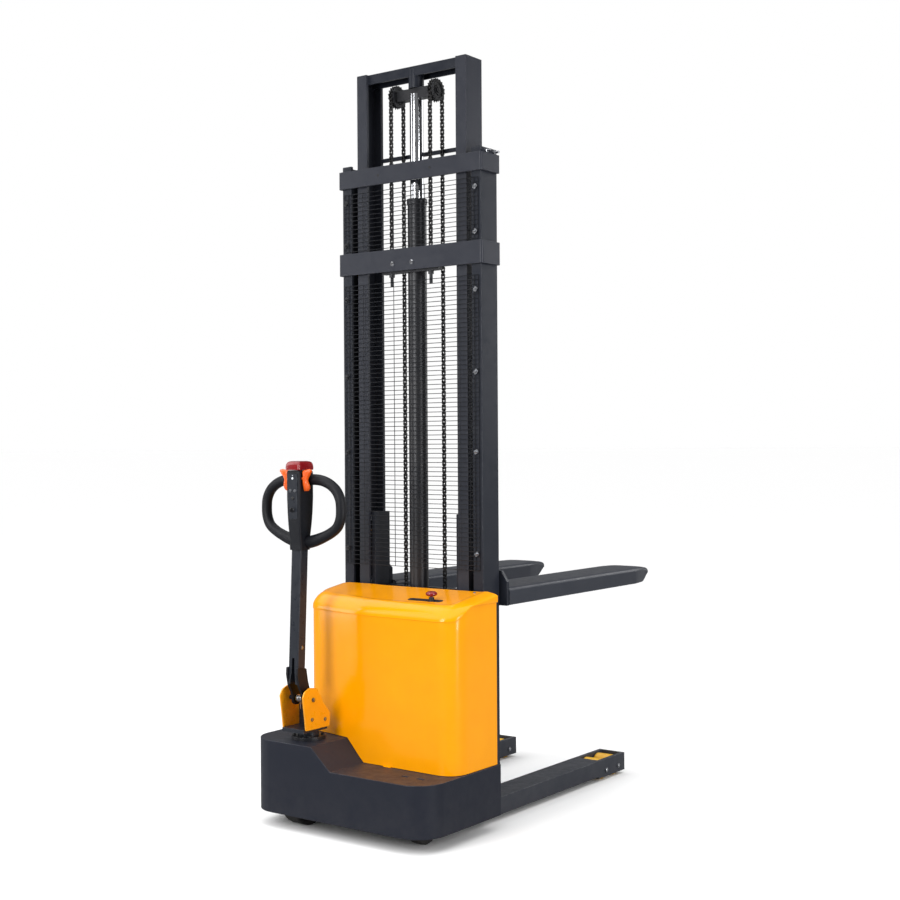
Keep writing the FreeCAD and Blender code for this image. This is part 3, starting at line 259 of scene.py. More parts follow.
@dataclass(frozen=True)
class Finish:
    """One finish of the machine, from the record's slot to the shader's values."""

    slot: str
    colour: tuple[float, float, float]
    shade: tuple[float, float, float]
    rough: float = 0.4
    rough_swing: float = 0.08
    metallic: float = 0.0
    coat: float = 0.0
    specular: float = 0.5
    fineness: float = 700.0
    squeeze: float = 1.0
    scratches: float = 0.0
    bump: float = 0.12
    bump_depth: float = 0.0004
    rub: float = 0.0
    rub_colour: tuple[float, float, float] = (0.20, 0.21, 0.22)
    rub_reach: float = 0.0022
    dust_top: float = 0.0
    dust_low: float = 0.0
    glow: float = 0.0

    def build(self, name: str) -> bpy.types.Material:
        """Make the material.

        Args:
            name: The material's name.

        Returns:
            A node material that reads Object coordinates only.
        """
        made = bpy.data.materials.new(name)
        made.use_nodes = True
        tree = made.node_tree
        shader = tree.nodes["Principled BSDF"]
        shader.inputs["Metallic"].default_value = self.metallic
        shader.inputs["Coat Weight"].default_value = self.coat
        shader.inputs["Coat Roughness"].default_value = 0.06
        shader.inputs["Specular IOR Level"].default_value = self.specular
        grain = self._effect(tree, Effect.GRAIN, {"Fineness": self.fineness,
                                                  "Squeeze Z": self.squeeze,
                                                  "Scratches": self.scratches})
        colour = self._blend(tree, grain.outputs["Mottle"], self.colour, self.shade)
        if self.rub:
            edge = self._effect(tree, Effect.RUB, {"Reach": self.rub_reach})
            colour = self._blend(tree, self._scaled(tree, edge.outputs["Mask"], self.rub),
                                 colour, self.rub_colour)
        if self.dust_top or self.dust_low:
            dust = self._effect(tree, Effect.DUST, {"Top": self.dust_top, "Low": self.dust_low})
            colour = self._blend(tree, dust.outputs["Mask"], colour, (0.30, 0.28, 0.26))
        tree.links.new(colour, shader.inputs["Base Color"])
        gloss = tree.nodes.new("ShaderNodeMapRange")
        tree.links.new(grain.outputs["Smear"], gloss.inputs["Value"])
        gloss.inputs["To Min"].default_value = max(0.02, self.rough - self.rough_swing)
        gloss.inputs["To Max"].default_value = self.rough + self.rough_swing
        tree.links.new(gloss.outputs["Result"], shader.inputs["Roughness"])
        relief = tree.nodes.new("ShaderNodeBump")
        relief.inputs["Strength"].default_value = self.bump
        relief.inputs["Distance"].default_value = self.bump_depth
        tree.links.new(grain.outputs["Height"], relief.inputs["Height"])
        tree.links.new(relief.outputs["Normal"], shader.inputs["Normal"])
        if self.glow:
            tree.links.new(colour, shader.inputs["Emission Color"])
            shader.inputs["Emission Strength"].default_value = self.glow
        return made

    @staticmethod
    def _effect(tree, effect: Effect, values: dict[str, float]):
        """Place a shared group with this finish's own values."""
        node = tree.nodes.new("ShaderNodeGroup")
        node.node_tree = EFFECTS.groups[effect]
        for label, value in values.items():
            node.inputs[label].default_value = value
        return node

    @staticmethod
    def _scaled(tree, source, amount: float):
        """A mask times an amount."""
        node = tree.nodes.new("ShaderNodeMath")
        node.operation = "MULTIPLY"
        tree.links.new(source, node.inputs[0])
        node.inputs[1].default_value = amount
        return node.outputs[0]

    @staticmethod
    def _blend(tree, mask, first, second):
        """Mix two colours by a mask; each is a socket or three numbers."""
        node = tree.nodes.new("ShaderNodeMix")
        node.data_type = "RGBA"
        tree.links.new(mask, node.inputs["Factor"])
        for label, colour in (("A", first), ("B", second)):
            socket = next(s for s in node.inputs if s.name == label and s.type == "RGBA")
            if isinstance(colour, tuple):
                socket.default_value = (*colour, 1.0)
            else:
                tree.links.new(colour, socket)
        return next(s for s in node.outputs if s.type == "RGBA")


FINISHES = {
    "skirt_paint": Finish("body_paint", (0.0140, 0.0165, 0.0262), (0.0165, 0.0190, 0.0286),
                          rough=0.44, rub=0.45, dust_top=0.05, dust_low=0.06,
                          bump=0.14, specular=0.20),
    # Painted highlight: a lighter copy of the body paint, for the light that falls on legs and
    # forks.
    "body_paint_lit": Finish("body_paint", (0.0290, 0.0330, 0.0440), (0.0350, 0.0385, 0.0495),
                        rough=0.38, rub=0.7, rub_reach=0.004, dust_top=0.05, dust_low=0.08,
                        specular=0.26),
    "mast_paint": Finish("mast_paint", (0.0154, 0.0182, 0.0268), (0.0196, 0.0222, 0.0306),
                         rough=0.36, rub=0.4, dust_top=0.05, bump=0.14,
                         specular=0.26),
    # Painted highlight: a lighter copy of the mast paint, for the light that falls on bands and
    # inner rails.
    "mast_paint_lit": Finish("mast_paint", (0.0280, 0.0306, 0.0412), (0.0331, 0.0357, 0.0462),
                         rough=0.38, rub=0.3, bump=0.14, specular=0.26),
    "amber_moulding": Finish("hood_yellow", (1.0, 0.375, 0.0), (0.97, 0.350, 0.0), rough=0.20,
                             rough_swing=0.04, coat=0.12, fineness=380.0, bump=0.04, specular=0.24),
    "bracket_yellow": Finish("bracket_yellow", (0.90, 0.37, 0.006), (0.82, 0.32, 0.006),
                             rough=0.33, rub=0.5, coat=0.2),
    "zinc": Finish("bright_steel", (0.50, 0.51, 0.53), (0.34, 0.35, 0.38), rough=0.30,
                   metallic=1.0, fineness=1500.0, bump=0.1),
    "chrome": Finish("chrome", (0.72, 0.73, 0.76), (0.60, 0.61, 0.64), rough=0.12,
                     rough_swing=0.04, metallic=1.0, fineness=2200.0, squeeze=0.03, bump=0.04),
    "oiled_chain": Finish("chain_steel", (0.010, 0.010, 0.012), (0.022, 0.021, 0.021),
                          rough=0.36, metallic=0.5, fineness=1800.0, bump=0.2),
    "black_steel": Finish("chain_steel", (0.014, 0.015, 0.019), (0.024, 0.024, 0.027),
                          rough=0.40, metallic=0.3, rub=0.5, fineness=1200.0, bump=0.2),
    "dipped_wire": Finish("wire_black", (0.006, 0.007, 0.010), (0.010, 0.011, 0.015),
                          rough=0.42, specular=0.25, fineness=1600.0, bump=0.15),
    "arm_paint": Finish("tiller_paint", (0.0161, 0.0190, 0.0262), (0.0203, 0.0230, 0.0302),
                        rough=0.34, rub=0.6, bump=0.14, specular=0.28),
    "head_moulding": Finish("tiller_plastic", (0.0043, 0.0052, 0.0084), (0.0060, 0.0070, 0.0104),
                            rough=0.46, specular=0.25, fineness=1400.0, bump=0.35,
                            bump_depth=0.0005),
    "grip_rubber": Finish("grip_rubber", (0.0042, 0.0048, 0.0074), (0.0062, 0.0068, 0.0098),
                          rough=0.50, specular=0.25, fineness=1100.0, bump=0.45, bump_depth=0.0006),
    "orange_moulding": Finish("orange_plastic", (0.90, 0.130, 0.006), (0.80, 0.10, 0.005),
                              rough=0.30, fineness=1300.0, bump=0.2, coat=0.2),
    "red_moulding": Finish("red_plastic", (0.27, 0.004, 0.007), (0.21, 0.003, 0.006),
                           rough=0.26, fineness=1200.0, bump=0.12, coat=0.4),
    "load_tyre": Finish("load_tyre", (0.88, 0.50, 0.012), (0.74, 0.38, 0.010), rough=0.38,
                        fineness=900.0, bump=0.3, dust_low=0.15),
    "black_tyre": Finish("dark_tyre", (0.010, 0.010, 0.011), (0.018, 0.018, 0.018), rough=0.62,
                         fineness=700.0, bump=0.5, bump_depth=0.0008, dust_low=0.15),
    "battery_case": Finish("battery_case", (0.012, 0.013, 0.015), (0.020, 0.021, 0.023),
                           rough=0.5, fineness=800.0, bump=0.4, dust_top=0.15),
    # Black for real black parts; also used as painted shade inside holes.
    "gap_black": Finish("tiller_plastic", (0.003, 0.003, 0.004), (0.006, 0.006, 0.007),
                        rough=0.6, fineness=900.0, bump=0.2),
    "lamp_white": Finish("bright_steel", (0.80, 0.84, 0.88), (0.72, 0.76, 0.80), rough=0.2,
                         fineness=900.0, glow=0.4, bump=0.05),
    "button_grey": Finish("tiller_plastic", (0.060, 0.064, 0.074), (0.075, 0.079, 0.089),
                          rough=0.35, fineness=1400.0, bump=0.2),
    "brass": Finish("bright_steel", (0.66, 0.38, 0.10), (0.54, 0.30, 0.08), rough=0.32,
                    metallic=1.0, fineness=1500.0, bump=0.1),
}
MATERIALS = {name: finish.build(name) for name, finish in FINISHES.items()}


# ------------------------------------------------------------------ shapes


class Form:
    """Gathers closed shells in one mesh, in the frame's metres."""

    def __init__(self) -> None:
        """Start empty."""
        self.mesh = bmesh.new()

    def loft(self, rings: Sequence[Sequence[Vector]], ring_closed: bool = True,
             ends: bool = True, joined: bool = False) -> "Form":
        """Skin a row of rings.

        Args:
            rings: Rings with the same number of points each.
            ring_closed: Whether each ring's last point joins its first.
            ends: Whether the first and last rings are filled in.
            joined: Whether the last ring joins the first, as on a torus.

        Returns:
            The form itself.
        """
        rows = [[self.mesh.verts.new(point) for point in ring] for ring in rings]
        steps = list(zip(rows, rows[1:]))
        if joined:
            steps.append((rows[-1], rows[0]))
        count = len(rows[0])
        for low, high in steps:
            for n in range(count if ring_closed else count - 1):
                after = (n + 1) % count
                self.mesh.faces.new((low[n], low[after], high[after], high[n]))
        if ends and not joined:
            self.mesh.faces.new(rows[0][::-1])
            self.mesh.faces.new(rows[-1])
        return self

    def sweep(self, path: Sequence[Vector], radius: float | Sequence[float],
              sides: int = 20, flat: float = 1.0) -> "Form":
        """A round tube along a path.

        Args:
            path: The points of its centreline.
            radius: One radius, or one for each point.
            sides: Points round the tube.
            flat: The section's depth over its width.

        Returns:
            The form itself.
        """
        sizes = [radius] * len(path) if isinstance(radius, (int, float)) else list(radius)
        tangents = []
        for n in range(len(path)):
            tangents.append((path[min(n + 1, len(path) - 1)] - path[max(n - 1, 0)]).normalized())
        across = tangents[0].orthogonal().normalized()
        rings = []
        for point, along, size in zip(path, tangents, sizes):
            across = (across - along * across.dot(along)).normalized()
            other = along.cross(across)
            rings.append([point + (across * math.cos(turn) + other * math.sin(turn) * flat) * size
                          for turn in (2 * math.pi * k / sides for k in range(sides))])
        return self.loft(rings)

    def lathe(self, profile: Outline, centre: Vector, axis: Vector, sides: int = 56,
              hollow: bool = False) -> "Form":
        """Turn a profile of (along, radius) in millimetres round an axis.

        Args:
            profile: The half section's points in order.
            centre: Where along is zero.
            axis: The axis to turn round.
            sides: Points round the ring.
            hollow: Whether the profile closes on itself, leaving a bore.

        Returns:
            The form itself.
        """
        axis = axis.normalized()
        across = axis.orthogonal().normalized()
        other = axis.cross(across)
        rings = []
        for along, radius in profile:
            rings.append([centre + axis * along * MM
                          + (across * math.cos(turn) + other * math.sin(turn)) * radius * MM
                          for turn in (2 * math.pi * k / sides for k in range(sides))])
        return self.loft(rings, joined=hollow, ends=not hollow)

    def prism(self, outline: Sequence[Vector], reach: Vector) -> "Form":
        """A flat outline pushed out along a vector."""
        return self.loft([list(outline), [point + reach for point in outline]])

    def bevel(self, width: float, segments: int = 2, angle: float = 28.0) -> "Form":
        """Bevel every edge sharper than an angle in degrees, by a width in millimetres."""
        bmesh.ops.recalc_face_normals(self.mesh, faces=self.mesh.faces)
        edges = [edge for edge in self.mesh.edges
                 if edge.is_manifold and math.degrees(edge.calc_face_angle(0.0)) > angle]
        bmesh.ops.bevel(self.mesh, geom=edges, offset=width * MM, segments=segments,
                        profile=0.6, affect="EDGES", clamp_overlap=True)
        return self

    def object(self, name: str) -> bpy.types.Object:
        """Turn the form into a linked object."""
        bmesh.ops.recalc_face_normals(self.mesh, faces=self.mesh.faces)
        data = bpy.data.meshes.new(name)
        self.mesh.to_mesh(data)
        self.mesh.free()
        made = bpy.data.objects.new(name, data)
        bpy.context.scene.collection.objects.link(made)
        return made


def rounded(points: Outline, radii: float | Sequence[float], steps: int = 6) -> Outline:
    """Round the corners of an outline.

    Args:
        points: The corners in order.
        radii: One radius, or one for each corner; zero leaves it sharp.
        steps: Points along each arc.

    Returns:
        The rounded outline.
    """
    sizes = [radii] * len(points) if isinstance(radii, (int, float)) else list(radii)
    made: Outline = []
    for n, corner in enumerate(points):
        here = Vector(corner)
        back, ahead = Vector(points[n - 1]) - here, Vector(points[(n + 1) % len(points)]) - here
        if not sizes[n]:
            made.append(corner)
            continue
        half = back.angle(ahead) / 2
        reach = min(sizes[n] / math.tan(half), 0.49 * back.length, 0.49 * ahead.length)
        start, end = here + back.normalized() * reach, here + ahead.normalized() * reach
        for step in range(steps + 1):
            share = step / steps
            curve = start * (1 - share) ** 2 + here * 2 * share * (1 - share) + end * share ** 2
            made.append((curve.x, curve.y))
    return made


def rounded_box(x: tuple[float, float], y: tuple[float, float], radius: float, z: float,
                steps: int = 4) -> list[Vector]:
    """A level ring with rounded corners, in the frame's metres."""
    corners = [(x[0], y[0]), (x[1], y[0]), (x[1], y[1]), (x[0], y[1])]
    return [spot(a, b, z) for a, b in rounded(corners, radius, steps)]


def flowing(points: Sequence[Vector], steps: int = 8) -> list[Vector]:
    """A smooth curve that passes through every point."""
    made = []
    for n in range(len(points) - 1):
        a, b = points[max(n - 1, 0)], points[n]
        c, d = points[n + 1], points[min(n + 2, len(points) - 1)]
        for step in range(steps):
            t = step / steps
            made.append(0.5 * (2 * b + (c - a) * t + (2 * a - 5 * b + 4 * c - d) * t * t
                               + (3 * b - a - 3 * c + d) * t ** 3))
    made.append(points[-1].copy())
    return made


# ------------------------------------------------------------------ pieces


class Bench:
    """Finishes pieces: settles modifiers, shades, colours and mounts them."""

    @staticmethod
    def settle(piece: bpy.types.Object) -> bpy.types.Object:
        """Apply every modifier by taking the evaluated mesh."""
        graph = bpy.context.evaluated_depsgraph_get()
        data = bpy.data.meshes.new_from_object(piece.evaluated_get(graph),
                                               preserve_all_data_layers=True, depsgraph=graph)
        piece.modifiers.clear()
        piece.data = data
        return piece

    @classmethod
    def mount(cls, piece: bpy.types.Object, finish: str, body: str,
              stands_for: Iterable[str] = (), crease: float = 32.0,
              weighted: bool = True) -> bpy.types.Object:
        """Shade a piece, give it a finish and let it ride.

        Args:
            piece: The finished mesh.
            finish: A name in FINISHES.
            body: The body it rides on.
            stands_for: The CAD nodes it replaces.
            crease: The angle above which an edge stays sharp.
            weighted: Whether large faces keep flat shading beside their bevels.

        Returns:
            The piece.
        """
        piece.data.materials.clear()
        piece.data.materials.append(MATERIALS[finish])
        piece.data.shade_smooth()
        piece.data.set_sharp_from_angle(angle=math.radians(crease))
        if weighted:
            even = piece.modifiers.new("even", "WEIGHTED_NORMAL")
            even.keep_sharp = True
            cls.settle(piece)
        if body:
            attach(piece, body)
        if stands_for:
            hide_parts(*stands_for)
        log.info("%s: %d faces on %s", piece.name, len(piece.data.polygons), body or "two bodies")
        return piece

    @classmethod
    def recut(cls, node: str, finish: str, bevel: float = 1.5, name: str = "",
              segments: int = 2) -> bpy.types.Object:
        """A machined copy of a CAD node: merged, its edges broken, standing for the node."""
        form = Form()
        form.mesh.from_mesh(frame["nodes"][node].data)
        bmesh.ops.remove_doubles(form.mesh, verts=form.mesh.verts, dist=2e-6)
        bmesh.ops.dissolve_limit(form.mesh, angle_limit=math.radians(0.4),
                                 verts=form.mesh.verts, edges=form.mesh.edges)
        if bevel:
            form.bevel(bevel, segments)
        piece = form.object(name or node + "_dressed")
        return cls.mount(piece, finish, frame["nodes"][node]["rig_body"], [node])


class Repeat(Enum):
    """The two ways in which small parts repeat."""

    ALONG_PATH = "along_path"
    ON_SEATS = "on_seats"


class RepeatTrees:
    """Geometry Nodes trees that set one shape again and again, then make it real."""

    def __init__(self) -> None:
        """Build both trees."""
        self.trees = {kind: self._tree(kind) for kind in Repeat}

    @staticmethod
    def _tree(kind: Repeat) -> bpy.types.NodeTree:
        """One tree.

        Args:
            kind: ALONG_PATH spaces the shape evenly on a curve and turns it with the curve;
                ON_SEATS puts it on each point, aimed by the points' own attribute.

        Returns:
            The tree, with named inputs.
        """
        tree = bpy.data.node_groups.new(kind.value, "GeometryNodeTree")
        face = tree.interface
        face.new_socket("Geometry", in_out="INPUT", socket_type="NodeSocketGeometry")
        face.new_socket("Shape", in_out="INPUT", socket_type="NodeSocketObject")
        face.new_socket("Finish", in_out="INPUT", socket_type="NodeSocketMaterial")
        face.new_socket("Count", in_out="INPUT", socket_type="NodeSocketInt").default_value = 2
        face.new_socket("Size", in_out="INPUT", socket_type="NodeSocketFloat").default_value = 1.0
        face.new_socket("Seed", in_out="INPUT", socket_type="NodeSocketInt").default_value = 7
        face.new_socket("Geometry", in_out="OUTPUT", socket_type="NodeSocketGeometry")
        given, made = tree.nodes.new("NodeGroupInput"), tree.nodes.new("NodeGroupOutput")
        link = tree.links.new
        shape = tree.nodes.new("GeometryNodeObjectInfo")
        link(given.outputs["Shape"], shape.inputs["Object"])
        aim = tree.nodes.new("FunctionNodeAlignRotationToVector")
        aim.axis = "Z"
        place = tree.nodes.new("GeometryNodeInstanceOnPoints")
        if kind is Repeat.ALONG_PATH:
            curve = tree.nodes.new("GeometryNodeMeshToCurve")
            even = tree.nodes.new("GeometryNodeResampleCurve")
            link(given.outputs["Geometry"], curve.inputs["Mesh"])
            link(curve.outputs["Curve"], even.inputs["Curve"])
            link(given.outputs["Count"], even.inputs["Count"])
            link(tree.nodes.new("GeometryNodeInputTangent").outputs[0], aim.inputs["Vector"])
            link(even.outputs["Curve"], place.inputs["Points"])
            turned = aim.outputs["Rotation"]
        else:
            stored = tree.nodes.new("GeometryNodeInputNamedAttribute")
            stored.data_type = "FLOAT_VECTOR"
            stored.inputs["Name"].default_value = "aim"
            link(stored.outputs["Attribute"], aim.inputs["Vector"])
            link(given.outputs["Geometry"], place.inputs["Points"])
            chance = tree.nodes.new("FunctionNodeRandomValue")
            chance.inputs["Max"].default_value = math.pi / 3
            link(given.outputs["Seed"], chance.inputs["Seed"])
            spin = tree.nodes.new("ShaderNodeCombineXYZ")
            link(next(s for s in chance.outputs if s.type == "VALUE"), spin.inputs["Z"])
            angle = tree.nodes.new("FunctionNodeEulerToRotation")
            link(spin.outputs[0], angle.inputs[0])
            rotate = tree.nodes.new("FunctionNodeRotateRotation")
            rotate.rotation_space = "LOCAL"
            link(aim.outputs["Rotation"], rotate.inputs["Rotation"])
            link(angle.outputs[0], rotate.inputs["Rotate By"])
            turned = rotate.outputs[0]
        link(turned, place.inputs["Rotation"])
        link(shape.outputs["Geometry"], place.inputs["Instance"])
        link(given.outputs["Size"], place.inputs["Scale"])
        real = tree.nodes.new("GeometryNodeRealizeInstances")
        finish = tree.nodes.new("GeometryNodeSetMaterial")
        link(place.outputs["Instances"], real.inputs[0])
        link(real.outputs[0], finish.inputs["Geometry"])
        link(given.outputs["Finish"], finish.inputs["Material"])
        link(finish.outputs[0], made.inputs[0])
        return tree

    def set(self, kind: Repeat, name: str, points: Sequence[Vector], shape: bpy.types.Object,
            finish: str, count: int = 2, aims: Sequence[Vector] = (), scale: float = 1.0,
            seed: int = 7) -> bpy.types.Object:
        """Repeat a shape and return the plain mesh.

        Args:
            kind: Along a path or on seats.
            name: The piece's name.
            points: The path's points, or the seats.
            shape: The shape, made about the origin with its axis on z.
            finish: A name in FINISHES.
            count: How many stand along the path.
            aims: Where each seat's z points.
            scale: The shape's size.
            seed: The seed of the random turn about each seat's own axis.

        Returns:
            An object with no modifier left.
        """
        data = bpy.data.meshes.new(name)
        edges = [(n, n + 1) for n in range(len(points) - 1)] if kind is Repeat.ALONG_PATH else []
        data.from_pydata(list(points), edges, [])
        if aims:
            store = data.attributes.new("aim", "FLOAT_VECTOR", "POINT")
            store.data.foreach_set("vector", [value for aim in aims for value in aim])
        piece = bpy.data.objects.new(name, data)
        bpy.context.scene.collection.objects.link(piece)
        maker = piece.modifiers.new("repeat", "NODES")
        maker.node_group = self.trees[kind]
        values = {"Shape": shape, "Finish": MATERIALS[finish], "Count": count, "Size": scale,
                  "Seed": seed}
        for item in self.trees[kind].interface.items_tree:
            if item.in_out == "INPUT" and item.name in values:
                maker[item.identifier] = values[item.name]
        return Bench.settle(piece)


REPEATS = RepeatTrees()


def discard(*things: bpy.types.Object) -> None:
    """Remove helper shapes once their copies are real."""
    for thing in things:
        bpy.data.objects.remove(thing)


@dataclass
class BoltHead:
    """A hexagon bolt head on a washer, about the origin with its axis on z."""

    across: float = 13.0
    height: float = 6.0
    washer: float = 9.5
    washer_wall: float = 1.4
    shank: float = 0.0

    def shape(self, name: str) -> bpy.types.Object:
        """Build the helper shape."""
        form = Form()
        up = Vector((0, 0, 1))
        zero = Vector((0, 0, 0))
        form.lathe([(0, self.washer), (self.washer_wall, self.washer)], zero, up, 20)
        corner = self.across / math.sqrt(3)
        top = self.washer_wall + self.height
        form.lathe([(self.washer_wall, corner), (top - 0.9, corner), (top, corner * 0.82)],
                   zero, up, 6)
        if self.shank:
            thread = [(top, self.across * 0.3), (top + self.shank - 1, self.across * 0.3),
                      (top + self.shank, self.across * 0.22)]
            form.lathe(thread, zero, up, 14)
        return form.object(name)


# ------------------------------------------------------------------ chassis


@dataclass
class Chassis:
    """The painted skirt with its deck, floor plate and the parts that it hides."""

    tab_x: tuple[float, float] = (84.0, 118.0)
    tab_back: float = 170.0
    deck: float = 232.0
    terminal: tuple[float, float] = (60.0, 310.0)

    def build(self) -> None:
        """Make every piece of the chassis."""
        Bench.recut("chassis_shell", "skirt_paint", 2.2, segments=3)
        Bench.recut("base_plate", "skirt_paint", 1.0)
        Bench.recut("steering_ring", "black_steel", 1.2)
        Bench.recut("motor_controller", "black_steel", 2.0)
        Bench.recut("pump_unit", "black_steel", 3.0)
        Bench.recut("battery", "battery_case", 4.0, segments=3)
        self.latch_tab()
        self.terminals()

    def latch_tab(self) -> None:
        """The hood's small locating tab on the deck."""
        low, high = self.tab_x
        outline = rounded([(low, self.tab_back), (high, self.tab_back),
                           (high, self.tab_back + 16), (low, self.tab_back + 16)], 3)
        form = Form().prism([spot(x, y, self.deck + 0.4) for x, y in outline],
                            Vector((0, 0, 3 * MM)))
        Bench.mount(form.bevel(0.6).object("hood_tab"), "amber_moulding", "root")

    def terminals(self) -> None:
        """Two lead terminals on the battery."""
        low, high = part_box("battery")
        form = Form()
        for x in self.terminal:
            centre = spot(x, 0, 0)
            centre.y, centre.z = (low.y + high.y) / 2, high.z - 2 * MM
            form.lathe([(0, 14), (4, 14), (5, 9), (15, 8), (16, 7)], centre, Vector((0, 0, 1)), 24)
        Bench.mount(form.object("battery_terminals"), "zinc", "root")


# ------------------------------------------------------------------ hood


@dataclass
class Hood:
    """The moulded hood: a shell that fits the deck, and a sculpted cap."""

    left: float = -322.0
    right: float = 390.0
    back: float = 176.0
    front: float = 427.0
    recede: float = 66.0
    bend_x: float = -20.0
    bend_ease: float = 8.0
    corner: float = 78.0
    wall: float = 4.0
    seat_gap: float = 0.2
    deck: float = 232.0
    block: float = 308.0
    block_edge: float = -100.0
    slope_end: float = -12.0
    reach: float = 5.0
    flare: float = 4.6
    lip: float = 753.0
    ear: float = 802.0
    shoulder: float = 799.0
    crest: float = 837.0
    crown: float = 56.0
    fall: float = 44.0
    wing_fall: float = 13.0
    dish: float = 2.0
    columns: int = 120
    rows: int = 40

    def plan(self, grow: float, steps: int = 14) -> Outline:
        """The hood's plan, from the front left corner round the rear to the front right.

        Args:
            grow: How far the plan stands out from the shell's outer face.
            steps: Points in each rounded corner.

        Returns:
            The outline's points.
        """
        left, right, back = self.left - grow, self.right + grow, self.back - grow
        corners = [(left, self.front), (left, back + self.recede),
                   (self.bend_x, back + self.bend_ease), (right, back), (right, self.front)]
        radius = self.corner + grow
        return rounded(corners, [0, radius, 4 * radius, radius, 0], steps)

    def filled(self, grow: float) -> Outline:
        """The plan with its straight runs divided evenly."""
        made: Outline = []
        outline = self.plan(grow)
        for (ax, ay), (bx, by) in zip(outline, outline[1:]):
            parts = max(1, round(math.hypot(bx - ax, by - ay) / 9))
            made += [(ax + (bx - ax) * n / parts, ay + (by - ay) * n / parts)
                     for n in range(parts)]
        return made + [outline[-1]]

    def seat(self, x: float) -> float:
        """The deck's height under the hood at x."""
        share = min(1.0, max(0.0, (x - self.block_edge) / (self.slope_end - self.block_edge)))
        return self.block + (self.deck - self.block) * share

    def lip_height(self, x: float, y: float) -> float:
        """The height of the cap's lower edge: it sweeps up along both sides."""
        sweep = smooth(y - self.rear_line(x), 8, 104)
        return self.lip + (self.ear - self.lip) * sweep

    def rear_line(self, x: float) -> float:
        """Where the hood's rear face lies at x, its corners left square."""
        if x > self.bend_x:
            share = (self.right - x) / (self.right - self.bend_x)
            return self.back + self.bend_ease * min(1.0, share)
        share = (self.bend_x - x) / (self.bend_x - self.left)
        return self.back + self.bend_ease + (self.recede - self.bend_ease) * share

    def edge(self, x: float, y: float) -> float:
        """The distance from the cap's outline at the rear and the sides."""
        best = 1e9
        for (ax, ay), (bx, by) in self.segments:
            dx, dy = bx - ax, by - ay
            t = min(1.0, max(0.0, ((x - ax) * dx + (y - ay) * dy) / (dx * dx + dy * dy)))
            best = min(best, (x - ax - t * dx) ** 2 + (y - ay - t * dy) ** 2)
        return math.sqrt(best)

    def build(self) -> None:
        """Make shell, seam, cap, screw and emergency stop."""
        outline = self.filled(self.reach)
        self.segments = list(zip(outline, outline[1:]))
        self.shell()
        self.seam()
        self.cap()
        self.emergency_stop()

    def shell(self) -> None:
        """The side walls, open above and below, up under the cap."""
        first = self.filled(-self.seat_gap)
        heights = (0.0, 0.004, 0.02, 0.3, 0.6, 0.9, 1.0)
        form = Form()

        def wall(outline: Outline) -> list[list[Vector]]:
            """Upright columns of points along an outline."""
            columns = []
            for x, y in outline:
                foot = self.seat(x) + 1.0
                top = min(self.lip_height(x, y) + 10, self.surface(x, y) - 4.5)
                columns.append([spot(x, y, foot + (top - foot) * h) for h in heights])
            return columns

        near, far = wall(first), self._matched(wall, first)
        rings = [a + b[::-1] for a, b in zip(near, far)]
        form.loft(rings)
        form.bevel(0.8, 2, 60)
        Bench.mount(form.object("hood_walls"), "amber_moulding", "root", ["hood_shell"], 40)

    def _matched(self, wall: Callable, first: Outline) -> list[list[Vector]]:
        """The second face's columns, a wall's thickness outside the first face."""
        made: Outline = []
        count = len(first)
        for n, (x, y) in enumerate(first):
            before, after = first[max(n - 1, 0)], first[min(n + 1, count - 1)]
            run = Vector((after[0] - before[0], after[1] - before[1])).normalized()
            made.append((x + run.y * self.wall, y - run.x * self.wall))
        return wall(made)

    def seam(self) -> None:
        """A dark tube along the seam between hood and deck."""
        outline = self.filled(1.2)
        form = Form()
        form.sweep([spot(x, y, self.seat(x) + 1.6) for x, y in outline], 2.3 * MM, 8)
        Bench.mount(form.object("hood_gasket"), "gap_black", "root", weighted=False)

    def top(self, x: float, y: float, edge: float) -> float:
        """The cap's height at a place.

        Args:
            x: Millimetres across.
            y: Millimetres from the rear face.
            edge: The distance from the cap's outline.

        Returns:
            The height in millimetres.
        """
        rear = self.back - self.reach
        slope = self.shoulder + (self.crest - self.shoulder) * (y - rear) / (self.front - rear)
        share = 1 - min(edge, self.crown) / self.crown
        behind = y - self.rear_line(x)
        depth = self.fall - (self.fall - self.wing_fall) * smooth(behind, 12, 104)
        fall = depth * (0.62 * (1 - math.sqrt(max(0.0, 1 - share * share)))
                        + 0.38 * share * share)
        tray = self.dish * smooth(x, -190, -90) * smooth(edge, 46, 70)
        ridge = 1.6 * smooth(edge, 30, 44) * (1 - smooth(edge, 46, 62)) * smooth(x, -240, -120)
        return slope - fall - tray + ridge * 0.5

    def cap(self) -> None:
        """The cap: a crowned top with a dished tray, a rolled shoulder and a swept lip."""
        left, right = self.left - self.reach, self.right + self.reach

        def rear_at(x: float) -> float:
            """Where the outline's rear lies at x."""
            best = self.front
            for (ax, ay), (bx, by) in self.segments:
                if min(ax, bx) - 1e-6 <= x <= max(ax, bx) + 1e-6 and abs(bx - ax) > 1e-6:
                    best = min(best, ay + (by - ay) * (x - ax) / (bx - ax))
            return best

